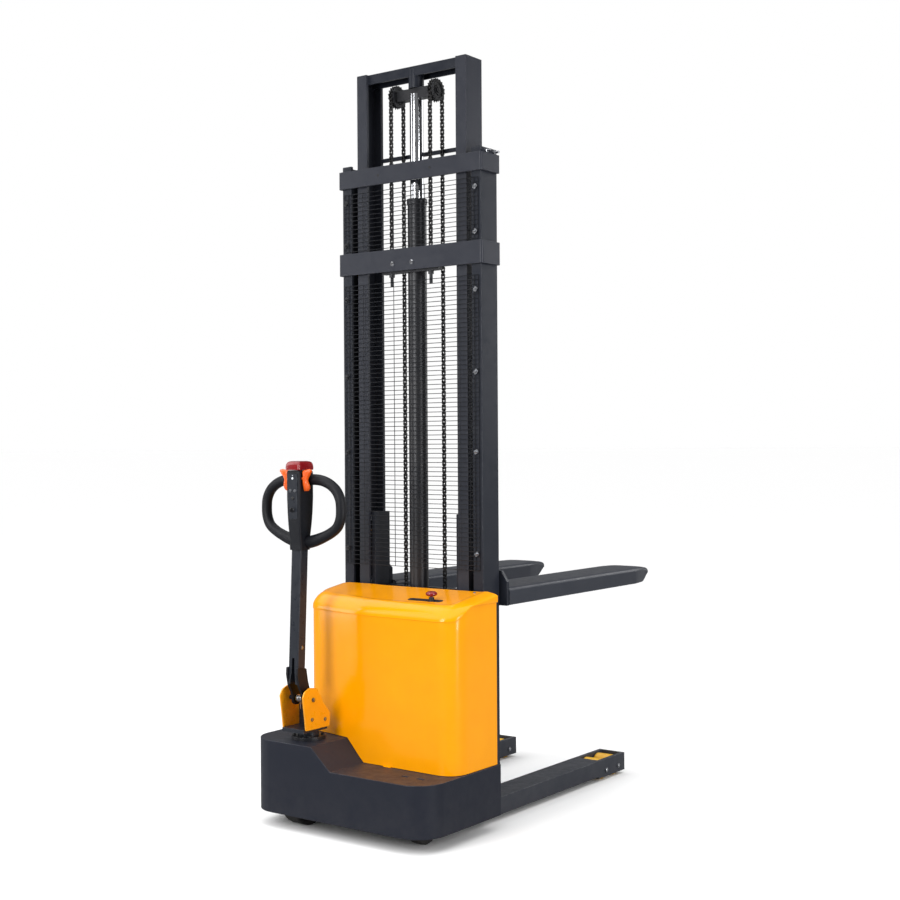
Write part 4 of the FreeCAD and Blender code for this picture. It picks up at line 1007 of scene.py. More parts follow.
        form = Form()
        middle, half = (left + right) / 2, (right - left) / 2
        grid = []
        for n in range(self.columns + 1):
            x = middle + half * math.sin((n / self.columns - 0.5) * math.pi)
            start = rear_at(x)
            if n in (0, self.columns):
                start = self.back + self.recede + self.corner if n == 0 else self.back + self.corner
            column = []
            for m in range(self.rows + 1):
                y = start + (self.front - start) * (m / self.rows) ** 1.7
                spread = smooth(abs(x - middle) / half, 0.8, 1.0) * math.copysign(1, x - middle)
                spread *= self.flare * smooth(y - self.rear_line(x), 40, 150)
                column.append(form.mesh.verts.new(spot(x + spread, y, self.surface(x, y))))
            grid.append(column)
        for a, b in zip(grid, grid[1:]):
            for m in range(self.rows):
                form.mesh.faces.new((a[m], b[m], b[m + 1], a[m + 1]))
        rim = grid[0][::-1] + [column[0] for column in grid[1:-1]] + grid[-1]
        self._skirt(form, rim)
        piece = form.object("hood_top")
        thick = piece.modifiers.new("wall", "SOLIDIFY")
        thick.thickness = 3 * MM
        thick.offset = -1
        Bench.mount(Bench.settle(piece), "amber_moulding", "root", ["hood_cap"], 50, False)
        self._screw()

    def _skirt(self, form: Form, rim: list) -> None:
        """Drop the cap's side band from its rim to the swept lip."""
        rows = [rim]
        for share, tuck in ((0.35, -0.4), (0.8, 0.0), (0.96, 0.3), (1.0, 1.6), (0.985, 4.5)):
            row = []
            for n, vert in enumerate(rim):
                before, after = rim[max(n - 1, 0)].co, rim[min(n + 1, len(rim) - 1)].co
                run = Vector((after.x - before.x, after.y - before.y, 0)).normalized()
                inward = Vector((-run.y, run.x, 0))
                x, y = vert.co.x / MM, (vert.co.y - REAR_FACE) / MM
                low = min(self.lip_height(x, y), vert.co.z / MM - 1.0)
                z = vert.co.z / MM + (low - vert.co.z / MM) * share
                point = vert.co + inward * tuck * MM
                row.append(form.mesh.verts.new((point.x, point.y, z * MM)))
            rows.append(row)
        for high, low in zip(rows, rows[1:]):
            for n in range(len(rim) - 1):
                form.mesh.faces.new((high[n], low[n], low[n + 1], high[n + 1]))

    def surface(self, x: float, y: float) -> float:
        """The finished cap's height at a place, in millimetres."""
        return self.top(x, y, self.edge(x, y))

    def _screw(self) -> None:
        """The cap's retaining screw by the mast."""
        x, y = 313.0, 408.0
        head = BoltHead(7.0, 2.6, 6.0, 1.0).shape("screw_shape")
        made = REPEATS.set(Repeat.ON_SEATS, "cap_screw", [spot(x, y, self.surface(x, y) - 0.5)],
                           head, "zinc", aims=[Vector((0, -0.14, 1))])
        discard(head)
        Bench.mount(made, "zinc", "root")

    def emergency_stop(self, x: float = 227.0, y: float = 270.0) -> None:
        """The slotted name plate, collar and mushroom of the emergency stop."""
        def draped(points: Outline, lift: float) -> list[Vector]:
            """An outline laid on the cap."""
            return [spot(a, b, self.surface(a, b) + lift) for a, b in points]

        plate = rounded([(126, 258), (272, 258), (272, 284), (126, 284)], 12)
        form = Form().loft([draped(plate, -1.0), draped(plate, 1.2)])
        Bench.mount(form.object("stop_plate"), "gap_black", "root")
        up = Vector((0, 0, 1))
        seat = 822.0
        collar = [(-38, 11), (-18, 11), (-16, 14.5), (-13, 14.5), (-11, 10.5), (0, 9.5),
                  (0, 6.2), (-38, 6.2)]
        form = Form().lathe(collar, spot(x, y, seat + 2), up, 48, hollow=True)
        Bench.mount(form.object("stop_collar"), "gap_black", "root", ["estop_base"])
        dome = [(-56, 5.8), (5, 5.8), (6, 12), (9.5, 19.2), (12, 20.4), (15, 20.5), (18, 19.2),
                (21, 16.0), (23, 10.5), (23.8, 4), (24, 0.6)]
        form = Form().lathe(dome, spot(x, y, seat), up, 56)
        Bench.mount(form.object("stop_mushroom"), "red_moulding", "estop_button",
                    ["estop_button"], 50)


# ------------------------------------------------------------------ mast


@dataclass
class Mast:
    """Outer and inner rails, bands, guards, ram and crosshead."""

    wire: float = 2.6
    pitch: float = 16.7
    wire_back: float = 443.3
    half: float = 312.0
    uprights: tuple[float, ...] = (-310.7, -292.0, -272.0, -220.5, -73.5, 73.5, 220.5,
                                   272.0, 292.0, 310.7)
    band_back: float = 437.0
    holes: tuple[float, ...] = (-139.0, 103.0)
    hole_height: float = 2364.0
    band_bolts: tuple[float, ...] = (-72.0, 18.0)
    anchors: tuple[float, float] = (-91.0, 91.0)
    anchor_back: float = 458.5
    thread_turns: int = 22
    thread_pitch: float = 1.5
    thread_root: float = 5.9
    thread_crest: float = 6.5
    # Bands and inner rails take the lighter mast paint, a painted highlight.
    cuts: dict[str, tuple[str, float]] = field(default_factory=lambda: {
        "outer_rail_left": ("mast_paint", 1.6), "outer_rail_right": ("mast_paint", 1.6),
        "mast_band_upper": ("mast_paint_lit", 1.6), "mast_band_lower": ("mast_paint_lit", 1.6),
        "mast_foot": ("mast_paint", 2.0), "inner_rail_left": ("mast_paint_lit", 1.8),
        "inner_rail_right": ("mast_paint_lit", 1.8), "inner_top_beam": ("mast_paint", 1.2),
        "inner_mast_ties": ("mast_paint", 1.0), "chain_crosshead": ("black_steel", 2.0),
        "carriage_frame": ("mast_paint", 2.0), "lift_cylinder": ("black_steel", 1.0),
        "chain_anchors": ("black_steel", 0.8),
        "mast_rollers": ("zinc", 0.6), "carriage_rollers_lower": ("zinc", 0.6),
        "carriage_rollers_upper": ("zinc", 0.6)})

    def build(self) -> None:
        """Make every piece of the mast."""
        self.rod()
        for node, (finish, width) in self.cuts.items():
            Bench.recut(node, finish, width)
        self.guard("guard_lower")
        self.guard("guard_upper")
        self.band_holes()
        self.anchor_threads()

    def rod(self) -> None:
        """The chrome piston rod, turned with broken ends."""
        low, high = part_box("piston_rod")
        length, radius = (high.z - low.z) / MM, (high.x - low.x) / MM / 2
        foot = Vector(((low.x + high.x) / 2, (low.y + high.y) / 2, low.z))
        profile = [(0, radius - 1), (1, radius), (length - 1, radius), (length, radius - 1)]
        form = Form().lathe(profile, foot, Vector((0, 0, 1)), 64)
        Bench.mount(form.object("piston_rod_turned"), "chrome",
                    frame["nodes"]["piston_rod"]["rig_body"], ["piston_rod"])

    def guard(self, node: str) -> None:
        """One welded panel: level wires behind and uprights in front."""
        low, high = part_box(node)
        foot, top = low.z / MM, high.z / MM
        radius = self.wire / 2
        count = round((top - foot - self.wire) / self.pitch) + 1
        span = self.half - radius

        def bar(name: str, start: Vector, end: Vector, size: float) -> bpy.types.Object:
            """A straight wire with rounded ends."""
            run = (end - start).normalized() * size * MM
            path = [start, start + run * 0.5, end - run * 0.5, end]
            return Form().sweep(path, [size * 0.5 * MM, size * MM, size * MM, size * 0.5 * MM],
                                6).object(name)

        level = bar("level_wire", Vector((-span * MM, 0, 0)), Vector((span * MM, 0, 0)), radius)
        path = [spot(0, self.wire_back, foot + radius), spot(0, self.wire_back, top - radius)]
        made = REPEATS.set(Repeat.ALONG_PATH, node + "_levels", path, level, "dipped_wire", count)
        Bench.mount(made, "dipped_wire", "root", [node], weighted=False)
        tall = (top - foot) / 2
        upright = bar("upright_wire", Vector((0, 0, -tall * MM)), Vector((0, 0, tall * MM)), radius)
        seats = [spot(x, self.wire_back + 2.3, (top + foot) / 2) for x in self.uprights]
        made = REPEATS.set(Repeat.ON_SEATS, node + "_uprights", seats, upright, "dipped_wire",
                           aims=[Vector((0, 0, 1))] * len(seats))
        discard(level, upright)
        Bench.mount(made, "dipped_wire", "root", weighted=False)

    def band_holes(self) -> None:
        """Two blind holes in the upper band, drawn as dark rings: painted shade for the holes'
        depth.
        """
        form = Form()
        for x in self.holes:
            form.lathe([(-0.4, 4.0), (-0.4, 5.2), (0.6, 5.6), (2, 5.6), (2, 1), (1, 0.5)],
                       spot(x, self.band_back, self.hole_height), Vector((0, 1, 0)), 24)
        Bench.mount(form.object("band_plugs"), "gap_black", "root", weighted=False)

    def anchor_threads(self) -> None:
        """The threads of the chain anchors below the lower band."""
        low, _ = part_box("chain_anchors")
        form = Form()
        for x in self.anchors:
            place = spot(x, 0, 0)
            place.y = REAR_FACE + self.anchor_back * MM
            place.z = low.z
            profile = [(0.0, 4.5)]
            for n in range(self.thread_turns):
                along = n * self.thread_pitch
                profile += [(0.6 + along, self.thread_root), (1.35 + along, self.thread_crest)]
            form.lathe(profile, place, Vector((0, 0, 1)), 24)
        Bench.mount(form.object("anchor_threads"), "black_steel", "root", weighted=False)


@dataclass
class LiftChain:
    """Two roller chains over toothed wheels."""

    offset: float = 91.0
    ram_back: float = 495.0
    wheel_height: float = 2657.0
    run_radius: float = 37.0
    pitch: float = 12.7
    plate_half: float = 5.3
    teeth: int = 18
    tip: float = 43.0
    root: float = 37.5

    def build(self) -> None:
        """Make strands, wraps and wheels."""
        self.strand("chain_rear", -self.run_radius)
        self.strand("chain_front", self.run_radius)
        self.wraps()
        for side, sign in (("left", -1), ("right", 1)):
            self.wheel(side, sign)

    def link(self, name: str, outer: bool) -> bpy.types.Object:
        """One link about the origin, its pins along x and its length on z."""
        form = Form()
        half = self.pitch / 2
        across = (4.6, 6.4) if outer else (2.9, 4.5)
        waist = self.plate_half * 0.66
        ring = []
        for end in (1, -1):
            for step in range(5):
                turn = math.pi * (step / 4)
                ring.append((self.plate_half * math.cos(turn) * end,
                             (half + self.plate_half * math.sin(turn)) * end))
            ring.append((-waist * end, 0.0))
        for sign in (-1, 1):
            low, high = sorted((sign * across[0], sign * across[1]))
            form.prism([Vector((low * MM, y * MM, z * MM)) for y, z in ring],
                       Vector(((high - low) * MM, 0, 0)))
        if outer:
            for end in (-1, 1):
                form.lathe([(-7, 1.6), (-6.8, 2.1), (6.8, 2.1), (7, 1.6)],
                           Vector((0, 0, end * half * MM)), Vector((1, 0, 0)), 8)
        else:
            for end in (-1, 1):
                form.lathe([(-2.9, 4.1), (2.9, 4.1)], Vector((0, 0, end * half * MM)),
                           Vector((1, 0, 0)), 10)
        return form.object(name)

    def lay(self, name: str, paths: Sequence[list[Vector]], counts: int) -> bpy.types.Object:
        """Lay outer and inner links by turns along each path, as one mesh."""
        shapes = [self.link("outer_link", True), self.link("inner_link", False)]
        parts = []
        for path in paths:
            total = sum((b - a).length for a, b in zip(path, path[1:]))
            share = 1 / counts
            for kind, shape in enumerate(shapes):
                number = (counts + 1 - kind) // 2
                start = (kind + 0.5) * share * total
                end = start + (number - 1) * 2 * share * total
                cut = self._between(path, start, end)
                parts.append(REPEATS.set(Repeat.ALONG_PATH, name, cut, shape, "oiled_chain",
                                         number))
        discard(*shapes)
        joined = bmesh.new()
        for part in parts:
            joined.from_mesh(part.data)
        discard(*parts)
        data = bpy.data.meshes.new(name)
        joined.to_mesh(data)
        joined.free()
        made = bpy.data.objects.new(name, data)
        bpy.context.scene.collection.objects.link(made)
        return made

    @staticmethod
    def _between(path: list[Vector], start: float, end: float) -> list[Vector]:
        """The part of a path between two distances along it."""
        made, gone = [], 0.0
        for a, b in zip(path, path[1:]):
            length = (b - a).length
            if gone <= start <= gone + length:
                made.append(a.lerp(b, (start - gone) / length))
            elif made and gone < end:
                made.append(a.copy())
            if gone <= end <= gone + length:
                made.append(a.lerp(b, (end - gone) / length))
                break
            gone += length
        return made

    def strand(self, node: str, shift: float) -> None:
        """The two straight runs on one side of the wheels, on no body."""
        low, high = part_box(node)
        paths = [[spot(sign * self.offset, self.ram_back + shift, low.z / MM),
                  spot(sign * self.offset, self.ram_back + shift, high.z / MM)]
                 for sign in (-1, 1)]
        count = round((high.z - low.z) / MM / self.pitch)
        made = self.lay(node + "_links", paths, count)
        Bench.mount(made, "oiled_chain", "", [node], weighted=False)
        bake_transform(made)

    def wraps(self) -> None:
        """The half turns over the wheels."""
        paths = []
        for sign in (-1, 1):
            centre = spot(sign * self.offset, self.ram_back, self.wheel_height)
            paths.append([centre + Vector((0, -math.cos(turn), math.sin(turn)))
                          * self.run_radius * MM
                          for turn in (math.pi * n / 36 for n in range(37))])
        count = round(math.pi * self.run_radius / self.pitch)
        made = self.lay("chain_wrap_links", paths, count)
        Bench.mount(made, "oiled_chain", "inner_mast", ["chain_wraps"], weighted=False)

    def wheel(self, side: str, sign: int) -> None:
        """A wheel with a toothed rim each side of the chain and a deep hub."""
        centre = spot(sign * self.offset, self.ram_back, self.wheel_height)
        form = Form()
        drum = [(-10, 10.1), (-10, 17), (-7.5, 18), (-7.5, 27), (-10, 29), (-10, 34), (-7.6, 36),
                (-7.4, 31), (7.4, 31), (7.6, 36), (10, 34), (10, 29), (7.5, 27), (7.5, 18),
                (10, 17), (10, 10.1)]
        form.lathe(drum, centre, Vector((1, 0, 0)), 64, hollow=True)
        for face in (-9.7, 7.7):
            ring = []
            for n in range(self.teeth * 6):
                turn = 2 * math.pi * n / (self.teeth * 6)
                reach = (self.root, self.root, 39.5, self.tip, self.tip, 39.5)[n % 6]
                ring.append((reach, turn))
            outer = [centre + Vector((face, r * math.cos(t), r * math.sin(t))) * MM
                     for r, t in ring]
            inner = [centre + Vector((face, 34 * math.cos(t), 34 * math.sin(t))) * MM
                     for _, t in ring]
            push = Vector((2.0 * MM, 0, 0))
            rings = [outer, inner, [p + push for p in inner], [p + push for p in outer]]
            form.loft(rings, joined=True)
        Bench.mount(form.object("toothed_wheel_" + side), "black_steel", "chain_wheel_" + side,
                    ["chain_wheel_" + side], 35, False)


# ------------------------------------------------------------------ forks and legs


@dataclass
class Forks:
    """Pressed forks with a crowned top and a bevelled nose."""

    middle: float = 261.0
    foot: float = 776.0
    top: float = 841.0
    heel: float = 572.0
    tip: float = 1690.0
    taper: float = 190.0
    width: float = 184.0
    nose: float = 112.0
    wall: float = 9.0
    crown: float = 15.0

    def build(self) -> None:
        """Make both forks."""
        for side, sign in (("left", -1), ("right", 1)):
            form = Form()
            stations = [self.heel, self.heel + 20, 800, 1000, 1200, 1400, self.tip - self.taper]
            stations += [self.tip - self.taper * (1 - n / 9) for n in range(1, 8)]
            stations += [self.tip - reach for reach in (30, 18, 9, 3.5, 0.5)]
            form.loft([self.section(y, sign) for y in stations])
            # The forks take the lighter body paint, a painted highlight.
            Bench.mount(form.object(f"fork_{side}_pressed"), "body_paint_lit", "carriage",
                        [f"fork_{side}"], 42)

    def section(self, y: float, sign: int) -> list[Vector]:
        """One cross-section: a channel, open below, that closes up into the nose."""
        share = smooth(y, self.tip - self.taper, self.tip - 10)
        straight = min(1.0, max(0.0, (y - self.tip + self.taper) / self.taper))
        half = (self.width + (self.nose - self.width) * (0.6 * straight + 0.4 * share)) / 2
        half -= 18 * smooth(y, self.tip - 22, self.tip) ** 2
        foot = self.foot + 36 * smooth(y, self.tip - 95, self.tip)
        top = self.top - 12 * smooth(y, self.tip - 120, self.tip)
        closing = smooth(y, self.tip - 75, self.tip - 50)
        inner_top = (top - self.wall) * (1 - closing) + (foot + 0.6) * closing
        arc = []
        for n in range(7):
            turn = math.pi / 2 * n / 6
            arc.append((half - self.crown * (1 - math.sin(turn)),
                        top - 1.4 - self.crown * (1 - math.cos(turn))))
        arc = arc[::-1]
        arc[-1] = (arc[-1][0], arc[-1][1] + 0.6)
        outer_right = [(half, foot), (half, (foot + top) / 2 - 6)] + arc
        crest = [(half * 0.45, top)]
        profile = [(-x, z) for x, z in outer_right] + [(-x, z) for x, z in crest]
        profile += crest + outer_right[::-1]
        hollow = half - self.wall
        inner = [(hollow, foot), (hollow, inner_top - 4), (hollow - 4, inner_top),
                 (-hollow + 4, inner_top), (-hollow, inner_top - 4), (-hollow, foot)]
        if closing:
            inner = [(x, min(z, inner_top)) for x, z in inner]
            inner = [(x, max(z, foot)) for x, z in inner]
        return [spot(sign * self.middle + x, y, z) for x, z in profile + inner]


@dataclass
class Legs:
    """Straddle legs, axles and tandem load wheels."""

    middle: float = 268.0
    wheel_half: float = 40.0
    radius: float = 40.0
    backs: tuple[float, float] = (1298.0, 1394.0)
    faces: tuple[float, float] = (209.0, 327.0)

    def build(self) -> None:
        """Make legs, axles and wheels."""
        # The legs take the lighter body paint, a painted highlight.
        Bench.recut("leg_left", "body_paint_lit", 2.6, segments=3)
        Bench.recut("leg_right", "body_paint_lit", 2.6, segments=3)
        Bench.recut("load_axles", "zinc", 1.0)
        for side, sign in (("left", -1), ("right", 1)):
            for place, y in zip(("rear", "front"), self.backs):
                self.wheel(f"load_wheel_{side}_{place}", sign * self.middle, y)

    def wheel(self, node: str, x: float, y: float) -> None:
        """A cast tyre on a steel hub with shielded bearings."""
        centre, axis = spot(x, y, self.radius), Vector((1, 0, 0))
        half, rim = self.wheel_half, self.radius
        tyre = [(-half, 25), (-half, rim - 4), (-half + 1.2, rim - 1.6), (-half + 4, rim - 0.3),
                (-half + 10, rim), (half - 10, rim), (half - 4, rim - 0.3),
                (half - 1.2, rim - 1.6), (half, rim - 4), (half, 25), (half - 3, 24.5),
                (-half + 3, 24.5)]
        form = Form().lathe(tyre, centre, axis, 72, hollow=True)
        Bench.mount(form.object(node + "_tyre"), "load_tyre", node, [node], 40, False)
        hub = [(-half + 2, 24.6), (-half + 2, 20), (-half + 4, 19), (-half + 4, 11),
               (-half + 1.5, 10), (-half + 1.5, 8.2), (half - 1.5, 8.2), (half - 1.5, 10),
               (half - 4, 11), (half - 4, 19), (half - 2, 20), (half - 2, 24.6)]
        form = Form().lathe(hub, centre, axis, 48, hollow=True)
        Bench.mount(form.object(node + "_hub"), "zinc", node, crease=35, weighted=False)


@dataclass
class Running:
    """Drive unit, drive wheel and castor, under the deck."""

    drive: tuple[float, float, float] = (-227.0, 114.0, 100.0)
    castor: tuple[float, float, float] = (275.0, 149.0, 65.0)

    def build(self) -> None:
        """Make the running gear."""
        Bench.recut("drive_unit", "black_steel", 2.0)
        Bench.recut("castor_fork", "zinc", 1.2)
        self.wheel("drive_wheel", self.drive, 100.0, 32.5, 15.05, 78.0)
        self.wheel("castor_wheel", self.castor, 65.0, 22.5, 6.05, 44.0)

    def wheel(self, node: str, place: tuple[float, float, float], rim: float, half: float,
              bore: float, bed: float) -> None:
        """A tyre on a dished hub with a ring of bolts."""
        centre, axis = spot(*place), Vector((1, 0, 0))
        tyre = [(-half, bed), (-half, rim - 7), (-half + 1.6, rim - 2.6), (-half + 5, rim - 0.5),
                (-half + 9, rim), (half - 9, rim), (half - 5, rim - 0.5),
                (half - 1.6, rim - 2.6), (half, rim - 7), (half, bed)]
        form = Form().lathe(tyre, centre, axis, 80, hollow=True)
        Bench.mount(form.object(node + "_tyre"), "black_tyre", node, [node], 40, False)
        lip, dish = half - 1, half * 0.45
        hub = [(-lip, bed), (-lip, bed - 5), (-dish, bed - 9), (-dish, bore + 12),
               (-lip, bore + 8), (-lip, bore), (lip, bore), (lip, bore + 8), (dish, bore + 12),
               (dish, bed - 9), (lip, bed - 5), (lip, bed)]
        form = Form().lathe(hub, centre, axis, 64, hollow=True)
        Bench.mount(form.object(node + "_hub"), "zinc", node, crease=35, weighted=False)
        ring = (bed - 9 + bore + 12) / 2
        head = BoltHead(rim * 0.09, rim * 0.04, rim * 0.065, 1.0).shape("wheel_bolt")
        seats, aims = [], []
        for n in range(5):
            turn = 2 * math.pi * n / 5
            for face in (-1, 1):
                seats.append(centre + Vector((face * dish, ring * math.cos(turn),
                                              ring * math.sin(turn))) * MM)
                aims.append(Vector((face, 0, 0)))
        made = REPEATS.set(Repeat.ON_SEATS, node + "_bolts", seats, head, "zinc", aims=aims)
        discard(head)
        Bench.mount(made, "zinc", node, weighted=False)


# ------------------------------------------------------------------ tiller


@dataclass
class Tiller:
    """Column, brackets, arm, head, loop handle and its controls."""

    x: float = -212.0
    pivot: tuple[float, float] = (77.0, 455.0)
    arm_half: float = 22.5
    arm_depth: float = 40.0
    arm_foot: tuple[float, float] = (32.0, 500.0)
    arm_top: tuple[float, float] = (55.0, 985.0)
    slot_top: float = 604.0
    bracket_half: float = 57.0
    bracket_wall: float = 6.0
    loop_back: float = 94.0
    loop: tuple[tuple[float, float], ...] = (
        (27, 1233), (56, 1235), (92, 1231), (128, 1218), (157, 1196), (174, 1166),
        (178.2, 1132), (175, 1098), (160, 1068), (130, 1047), (94, 1031), (58, 1019), (20, 1010))
    head: tuple[tuple[float, float, float, float, float], ...] = (
        (985, 27, 50, 100, 6), (1001, 27.5, 49, 101, 6), (1004, 25.5, 51, 100, 6),
        (1030, 26.5, 47, 104, 7), (1075, 28.5, 43, 110, 7), (1120, 30, 41, 114, 7),
        (1170, 31, 40, 116, 7), (1258, 31, 40, 116, 7), (1265, 30, 41, 115, 7),
        (1268, 27.5, 43, 112.5, 6))

    def build(self) -> None:
        """Make every piece of the tiller."""
        Bench.recut("tiller_column", "arm_paint", 1.6)
        self.brackets()
        self.spring()
        self.arm()
        self.fork()
        self.head_body()
        self.handle()
        self.throttle()
        self.buttons()

    def at(self, x: float, y: float, z: float) -> Vector:
        """A place counted sideways from the tiller's own middle."""
        return spot(self.x + x, y, z)

    def brackets(self) -> None:
        """The two yellow side plates."""
        corners = [(24, 468), (34, 488), (62, 500), (98, 494), (118, 462), (130, 440),
                   (167, 398), (163, 350), (40, 350), (34, 400)]
        outline = rounded(corners, [14, 16, 22, 18, 14, 14, 10, 3, 3, 22], 5)
        form = Form()
        for sign in (-1, 1):
            inner = sign * self.bracket_half if sign < 0 else self.bracket_half - self.bracket_wall
            form.prism([self.at(inner, y, z) for y, z in outline],
                       Vector((self.bracket_wall * MM, 0, 0)))
        form.bevel(0.9, 2, 50)
        Bench.mount(form.object("bracket_plates"), "bracket_yellow", "steer",
                    ["tiller_brackets"], 35)
        head = BoltHead(10.0, 3.4, 7.6, 1.0).shape("bracket_bolt")
        seats, aims = [], []
        for sign in (-1, 1):
            for y, z in (self.pivot, (72.0, 386.0), (140.0, 378.0)):
                lift = 3.0 if (y, z) == self.pivot else 0.0
                seats.append(self.at(sign * (self.bracket_half + lift - 0.3), y, z))
                aims.append(Vector((sign, 0, 0)))
        made = REPEATS.set(Repeat.ON_SEATS, "bracket_bolts", seats, head, "zinc", aims=aims)
        discard(head)
        Bench.mount(made, "zinc", "steer", weighted=False)

    def spring(self) -> None:
        """The return spring round the tilt pin, with its legs and a brass bush each end."""
        y, z = self.pivot
        path = []
        turns, steps = 5, 24
        for n in range(turns * steps + 1):
            turn = 2 * math.pi * n / steps
            path.append(self.at(-13 + 26 * n / (turns * steps), y + 10.9 * math.cos(turn),
                                z + 10.9 * math.sin(turn)))
        tail = [self.at(13, y + 10.9, z - 14), self.at(13, y + 10.9, z - 40)]
        nose = [self.at(-13, y + 10.9, z - 40), self.at(-13, y + 10.9, z - 14)]
        form = Form().sweep(nose + path + tail, 2.2 * MM, 10)
        Bench.mount(form.object("return_spring"), "zinc", "steer", ["tilt_spring"], 60, False)
        form = Form()
        for start in (-17.5, 13.6):
            ring = [(0, 8.1), (0, 13), (0.6, 13.6), (3.3, 13.6), (3.9, 13), (3.9, 8.1)]
            form.lathe(ring, self.at(start, y, z), Vector((1, 0, 0)), 32, hollow=True)
        Bench.mount(form.object("pivot_bushes"), "brass", "steer", weighted=False)

    def arm(self) -> None:
        """The leaning tube of the arm, slotted above the fork."""
        (y0, z0), (y1, z1) = self.arm_foot, self.arm_top
        rings = []
        for share in (0, 0.05, 0.1, 0.2, 0.35, 0.5, 0.7, 0.9, 1.0):
            z = z0 + 12 + (z1 - z0 - 12) * share
            y = y0 + (y1 - y0) * (z - z0) / (z1 - z0)
            rings.append(rounded_box((self.x - self.arm_half, self.x + self.arm_half),
                                     (y, y + self.arm_depth), 5, z))
        tube = Form().loft(rings).object("arm_tube")
        outline = rounded([(-5.5, self.slot_top), (5.5, self.slot_top), (7, 560), (12, 520),
                           (14, 470), (-14, 470), (-12, 520), (-7, 560)],
                          [5, 5, 0, 0, 0, 0, 0, 0], 6)
        cutter = Form().prism([self.at(x, 0, z) for x, z in outline],
                              Vector((0, 62 * MM, 0))).object("slot_cutter")
        cut = tube.modifiers.new("slot", "BOOLEAN")
        cut.object, cut.solver = cutter, "EXACT"
        Bench.settle(tube)
        discard(cutter)
        Bench.mount(tube, "arm_paint", "tiller", ["tiller_arm"], 40)
        bolt = BoltHead(8.0, 3.0, 6.5, 1.0).shape("arm_bolt")
        seats = [self.at(self.arm_half, 58, 640), self.at(-self.arm_half, 58, 640)]
        made = REPEATS.set(Repeat.ON_SEATS, "arm_bolts", seats, bolt, "zinc",
                           aims=[Vector((1, 0, 0)), Vector((-1, 0, 0))])
        discard(bolt)
        Bench.mount(made, "zinc", "tiller", weighted=False)

    def fork(self) -> None:
        """The dark flared cheeks that carry the arm on the pivot pin."""
        y, z = self.pivot
        form = Form()
        profile = rounded([(y - 20, z - 14), (y - 9, z - 23), (y + 9, z - 23), (y + 21, z - 14),
                           (y + 23, z + 8), (y + 6, 520), (75, 565), (30, 572), (28, 545),
                           (36, 505), (50, 480)], [9, 9, 9, 9, 10, 14, 5, 5, 8, 12, 10], 5)
        for sign in (-1, 1):
            start = 18.6 if sign > 0 else -28.4
            form.prism([self.at(start, a, b) for a, b in profile], Vector((9.8 * MM, 0, 0)))
        form.bevel(1.4, 2, 40)
        Bench.mount(form.object("arm_fork"), "head_moulding", "tiller", crease=35)

    def head_body(self) -> None:
        """The moulded head, its face panel and its lamp."""
        rings = [rounded_box((self.x - half, self.x + half), (back, front), corner, z)
                 for z, half, back, front, corner in self.head]
        form = Form().loft(rings)
        Bench.mount(form.object("head_body"), "head_moulding", "tiller", ["tiller_head"], 50)
        face = [(-19, 1096), (19, 1096), (22, 1160), (22, 1256), (-22, 1256), (-22, 1160)]
        outline = rounded(face, 5, 5)
        back = [self.at(x, 42.5 - 2.5 * smooth(z, 1096, 1172), z) for x, z in outline]
        form = Form().prism(back, Vector((0, -1.6 * MM, 0))).bevel(0.5, 2, 50)
        Bench.mount(form.object("head_panel"), "arm_paint", "tiller", crease=35)
        lamp = Form()
        rear = Vector((0, -1, 0))
        lamp.lathe([(0, 4.2), (1.4, 4.0), (2.2, 2.6), (2.5, 0.6)], self.at(0, 38.6, 1240), rear, 24)
        lamp.lathe([(0, 1.6), (0.9, 1.3), (1.1, 0.4)], self.at(0, 38.6, 1250), rear, 16)
        Bench.mount(lamp.object("head_lamps"), "lamp_white", "tiller", crease=60, weighted=False)
        # A dark disc in the vent: painted shade for the hole's depth.
        hole = Form().lathe([(0, 3.4), (1.0, 3.4), (1.2, 2.0), (0.2, 1.0)],
                            self.at(6, 43.6, 1088), rear, 20)
        Bench.mount(hole.object("head_vent"), "gap_black", "tiller", weighted=False)

    def handle(self) -> None:
        """The loop handle: two grips that swell where they join the head."""
        form = Form()
        for sign in (-1, 1):
            path = flowing([self.at(sign * x, self.loop_back, z) for x, z in self.loop], 7)
            radii = []
            for point in path:
                away = abs(point.x / MM - self.x)
                low = 1 - smooth(point.z / MM, 1000, 1090)
                swell = (1 - smooth(away, 30, 150)) * (1.2 + 2.6 * low)
                radii.append((18.4 + swell) * MM)
            form.sweep(path, radii, 28)
        Bench.mount(form.object("loop_grips"), "grip_rubber", "tiller", ["handle_loop"], 60, False)

    def throttle(self) -> None:
        """The butterfly wings, one shaft through the head."""
        low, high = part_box("throttle")
        y, foot, top = (low.y + high.y) / 2, low.z, high.z
        form = Form()
        waves = ((0.0, 12, 4, 6), (0.03, 19, 6.5, 6), (0.12, 24, 8.4, 5), (0.28, 25, 8.8, 2),
                 (0.42, 21, 8.0, 0), (0.55, 19.5, 7.6, 0), (0.68, 25, 8.4, 0), (0.80, 34, 8.8, -1),
                 (0.90, 40, 8.2, -2), (0.97, 38, 6.4, -2), (1.0, 30, 3.4, -1))
        for sign in (-1, 1):
            rings = []
            for share, width, depth, lean in waves:
                z = foot + (top - foot) * share
                inner = self.x * MM + sign * 34.6 * MM
                outer = inner + sign * width * MM
                ring = []
                for k in range(24):
                    turn = 2 * math.pi * k / 24
                    swing, lift = math.cos(turn), math.sin(turn)
                    ring.append(Vector((
                        (inner + outer) / 2
                        + (outer - inner) / 2 * math.copysign(abs(swing) ** 0.6, swing),
                        y + lean * MM + depth * MM * math.copysign(abs(lift) ** 0.7, lift),
                        z + 3 * MM * swing * smooth(share, 0.6, 0.9))))
                rings.append(ring)
            form.loft(rings)
        shaft = Vector((1, 0, 0))
        span = 38.0
        form.lathe([(-span, 5.6), (span, 5.6)],
                   Vector((self.x * MM, REAR_FACE + 58 * MM, 1.240)), shaft, 24)
        piece = form.object("butterfly_wings")
        Bench.mount(piece, "orange_moulding", "throttle", ["throttle"], 55, False)

